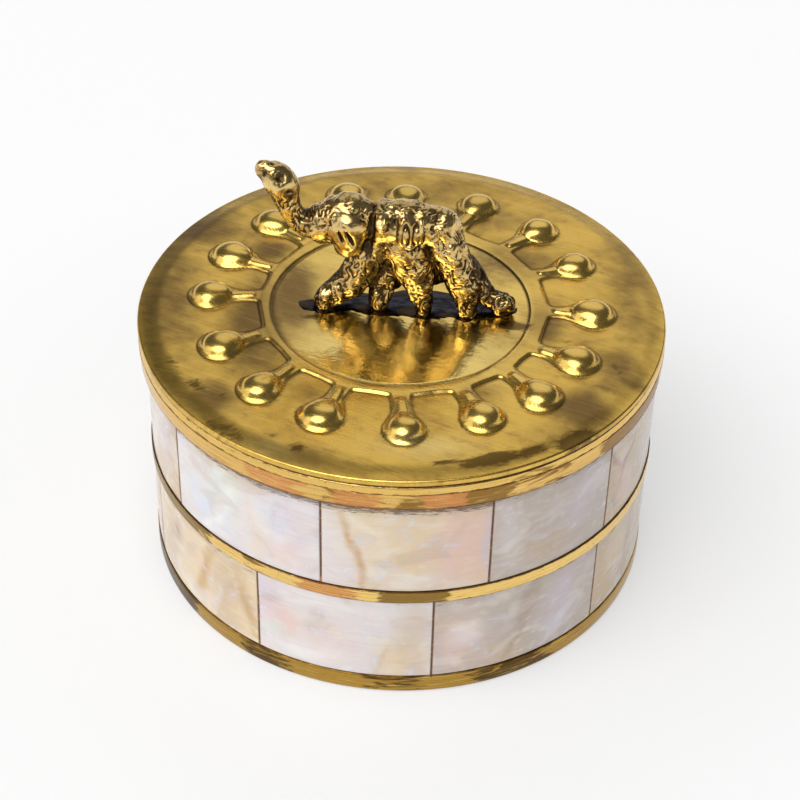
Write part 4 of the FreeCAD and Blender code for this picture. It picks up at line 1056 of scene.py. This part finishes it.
def cast_elephant():
    """Limbs and head grown together, softened, then worked over: the saddle cloth, the ear with its
    two slits, the fold behind the head, the nostril and what the mould left. What each point lost
    against its softened surroundings starts its darkening mark: patina in the hollows, more in the
    folds and slits and towards the bottom, with painted shade added in the broad recesses, between
    the legs, under the body and on the faces turned right, and the upper body painted lighter."""
    shift = np.array([0, FIGURE_Y, LID_TOP])
    shapes = [tube(np.array(rows) + [0, FIGURE_Y, LID_TOP, 0.05]) for rows in LIMBS.values()]
    shapes += [egg(shift + place, halves) for place, halves in EARS]
    shapes += [egg(shift + place, halves, lean) for place, halves, lean in SWELLINGS.values()]
    figure = grown_together("elephant_casting", shapes)
    mesh = figure.data
    count = len(mesh.vertices)
    co, ends, normal = np.empty(count * 3), np.empty(len(mesh.edges) * 2, np.int32), np.empty(count * 3)
    mesh.vertices.foreach_get("co", co)
    mesh.edges.foreach_get("vertices", ends)
    edges = ends.reshape(-1, 2)
    points = softened(co.reshape(-1, 3) / MM, edges, 9)

    def facing(at):
        mesh.vertices.foreach_set("co", (at * MM).reshape(-1))
        mesh.update()
        mesh.vertex_normals.foreach_get("vector", normal)
        return normal.reshape(-1, 3).copy()

    out = facing(points)
    x, y, z = (points - shift).T
    cloth, cloth_lip, ovals = cloth_marks(x, z)
    ear, slits, ear_rim = ear_marks(x, y, z)
    near_side = climb(-y, 0.5, 1.5) * climb(-z, -26.6, -24.4)
    fold = np.exp(-((x + 7.6 - 0.1 * (z - 22)) / 0.85) ** 2) * climb(z, 14.5, 17) * climb(-z, -27.5, -25)
    nostril = np.exp(-((np.linalg.norm(points - shift - NOSTRIL, axis=1) / 1.5) ** 2))
    smooth_part = np.clip(ear * 0.9 + 0.8 * cloth * near_side, 0, 1)
    worked = hide_relief(points, z, smooth_part) - 1.0 * fold - 1.1 * nostril
    worked += near_side * (0.55 * cloth + 0.4 * cloth_lip - 0.55 * ovals)
    worked += ear * (0.12 * ear_rim - 1.0 * slits - 0.05)
    worn = points + out * worked[:, None]
    worn[:, 2] = np.maximum(worn[:, 2], LID_TOP + 0.12)
    worn = softened(worn, edges, 1, 0.3)
    near, wide = softened(worn, edges, 6), softened(worn, edges, 40)
    out = facing(worn)
    # Patina in the hollows, from each point's loss against the near softening; the loss against the wide
    # softening adds painted shade in the broad recesses.
    hollow = ((near - worn) * out).sum(1) * 4.0 + ((wide - worn) * out).sum(1) * 1.1
    downward = climb(-out[:, 2], -0.1, 0.6)
    inner = climb(y, -3.4, -0.8) * climb(-y, -2.6, -1.4) * climb(-z, -17, -14) * (1 - 0.5 * downward)
    # Darker in the slits, the fold and the nostril, towards the bottom, and as painted shade between the
    # legs.
    hollow += 0.8 * slits + 1.2 * fold + 0.6 * nostril + 0.25 * climb(-z, -8, -1) + 0.9 * inner
    # The faces turned to the right get painted shade.
    hollow += 0.2 * near_side * ovals + 0.16 * climb(out[:, 0], 0.3, 0.9)
    # Under faces high on the body get painted shade; those low down are lightened.
    hollow += downward * (0.1 * climb(z, 15, 18) - 0.12 * climb(-z, -16, -13))
    # Darker towards the trunk's end and towards the bottom.
    hollow += 0.15 * climb(-x, 19, 23) + 0.17 * climb(-z, -17, -11)
    # The upper body, from the head back, is painted lighter.
    hollow -= 0.2 * climb(z, 15, 21) * climb(x, -18, -15)
    upward = climb(out[:, 2], 0.05, 0.8) * climb(z, 3, 9)
    marks = {"hollow": hollow, "smooth_part": smooth_part, "upward": upward, "downward": downward}
    for name, values in marks.items():
        mesh.attributes.new(name, "FLOAT", "POINT").data.foreach_set("value", values.astype(np.float32))
    mesh.polygons.foreach_set("use_smooth", np.ones(len(mesh.polygons), bool))
    mesh.update()
    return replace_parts(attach(figure, "lid"), "elephant_knob")


def cast_brass(figure):
    """Cast brass: gold on the rubbed peaks, brown in the hollows, with a fine grain from the mould. The
    brown is partly patina and partly painted shade; the upward faces get a painted brown shade, and the
    under faces are painted pale, as painted light."""
    f = Finish("cast_brass", {"Metallic": 1.0})
    hollow, even = f.mark("hollow"), f.mark("smooth_part")
    grain = f.cloud((0.9, 0.9, 0.9), detail=2, rough=0.5)
    patch = f.cloud((3.0, 3.0, 4.0), detail=3, rough=0.6, bend=0.8, shift=12)
    dark = f.rise(hollow + (grain - 0.5) * 0.3 + (patch - 0.5) * 1.2, -0.08, 0.3)
    colour = f.layers(
        tone(234, 202, 134),
        (f.rise(patch, 0.42, 0.6), tone(190, 158, 98)),
        # Painted shade: the upward faces are browned.
        (f.mark("upward") * f.rise(patch, 0.3, 0.6, 0.4, 0.1), tone(140, 110, 66)),
        # Painted light: the under faces are painted pale.
        (f.mark("downward"), tone(240, 226, 176)),
        # Dark brown: patina in the hollows, and painted shade between the legs, under the body and on the
        # right-facing sides.
        (dark * 0.94, tone(56, 40, 24)),
    )
    f.wear(figure, Base_Color=colour, Roughness=dark * 0.15 + grain * 0.1 + 0.19,
           Normal=f.dents(grain * (1 - even * 0.8), 0.035))


cast_brass(cast_elephant())


# The solder: soft solder that ran out from under the feet in one uneven strip and turned nearly
# black. It fixes the elephant to the lid, in a thin skin with a lip up each foot.
# The feet as (x, y, radius), and the strip's front and back edges as (x, y) in the lid's plane
FEET = [(-17.9, -1.7, 2.7), (-5.8, -1.5, 2.5), (4.4, -3.2, 1.8), (14.2, -3.5, 2.3), (22.4, -2.3, 2.5)]
FRONT_EDGE = [(-24, -3.0), (-22, -4.6), (-17, -5.0), (-12, -3.4), (-7, -4.6), (0, -4.2), (5, -5.8),
              (10, -4.8), (14, -6.4), (19, -4.6), (23, -5.2), (27, -3.8)]
BACK_EDGE = [(-24, 0.8), (-17, 2.8), (-6, 4.6), (6, 5.6), (16, 3.4), (27, -0.8)]


def make_solder():
    """Rows cross the strip from its tip at the left to the one at the right; in each, the columns go
    from the front edge to the back one, by s from -1 to 1, and return beneath. Height over the lid
    goes as 1 - t^3, with t from 0 along the middle to 1 at the edges and tips, and rises by exp(-d)
    against each foot, d being how far off it is. The strip lies on the lid's own waves."""
    run = np.linspace(0, np.pi, 150)[:, None]
    x = 0.9 - 24.9 * np.cos(run)
    s = np.sin(np.linspace(-np.pi / 2, np.pi / 2, 36))[None, :]
    front = np.interp(x[:, 0], *np.array(FRONT_EDGE).T)[:, None]
    back = np.interp(x[:, 0], *np.array(BACK_EDGE).T)[:, None]
    ragged = np.stack([x[:, 0], 0 * x[:, 0], 0 * x[:, 0]], axis=-1)
    front += 0.35 * ripples(ragged, 4.0, 51)[:, None] + 0.2 * ripples(ragged, 1.6, 52)[:, None]
    back += 0.35 * ripples(ragged, 4.0, 53)[:, None]
    tapered = np.sin(run) ** 0.4
    front, back = front * tapered, back * tapered
    y = (front + back) / 2 + (back - front) / 2 * s
    x = x + 0 * s
    place = np.stack([x, y, 0 * x], axis=-1)
    t = np.maximum(np.abs(s), np.abs(np.cos(run)) ** 6)
    height = (0.2 + 0.08 * ripples(place, 4.5, 71)) * (1 - t ** 3)
    for foot_x, foot_y, foot_radius in FEET:
        away = np.clip(np.hypot(x - foot_x, y - foot_y) - foot_radius * 0.8, 0, 9)
        height += 0.32 * np.exp(-away / 0.6) * (1 - t ** 4)
    lid_face = LID_TOP + hammered(place)
    top = np.stack([x, y, lid_face + 0.015 + height * 0.95], axis=-1)
    bottom = np.stack([x, y, lid_face - 0.15], axis=-1)[:, ::-1]
    strip = np.concatenate([top, bottom], axis=1)
    strip[0], strip[-1] = strip[0].mean(0), strip[-1].mean(0)
    thin = np.concatenate([t, t[:, ::-1]], axis=1)
    pool = skin("solder_skin", strip, "tips", {"thin": thin})
    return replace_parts(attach(pool, "lid"), "solder_pool")


def grey_solder(pool):
    """Nearly black mottled metal, brown with burnt flux in places and where the strip is thin."""
    f = Finish("grey_solder", {"Metallic": 1.0})
    mottle = f.cloud((2.2, 1.4, 1.2), detail=4, rough=0.6, bend=0.5)
    brown = f.rise(f.cloud((5, 3, 3), detail=3, shift=9), 0.5, 0.62)
    colour = f.layers(tone(20, 20, 26), (f.rise(mottle, 0.4, 0.66), tone(62, 62, 70)),
                      (f.rise(brown * 0.5 + f.mark("thin"), 0.5, 1.2), tone(64, 46, 26)))
    f.wear(pool, Base_Color=colour, Roughness=mottle * 0.2 + 0.12, Normal=f.dents(mottle, 0.06))


grey_solder(make_solder())

bpy.context.view_layer.update()
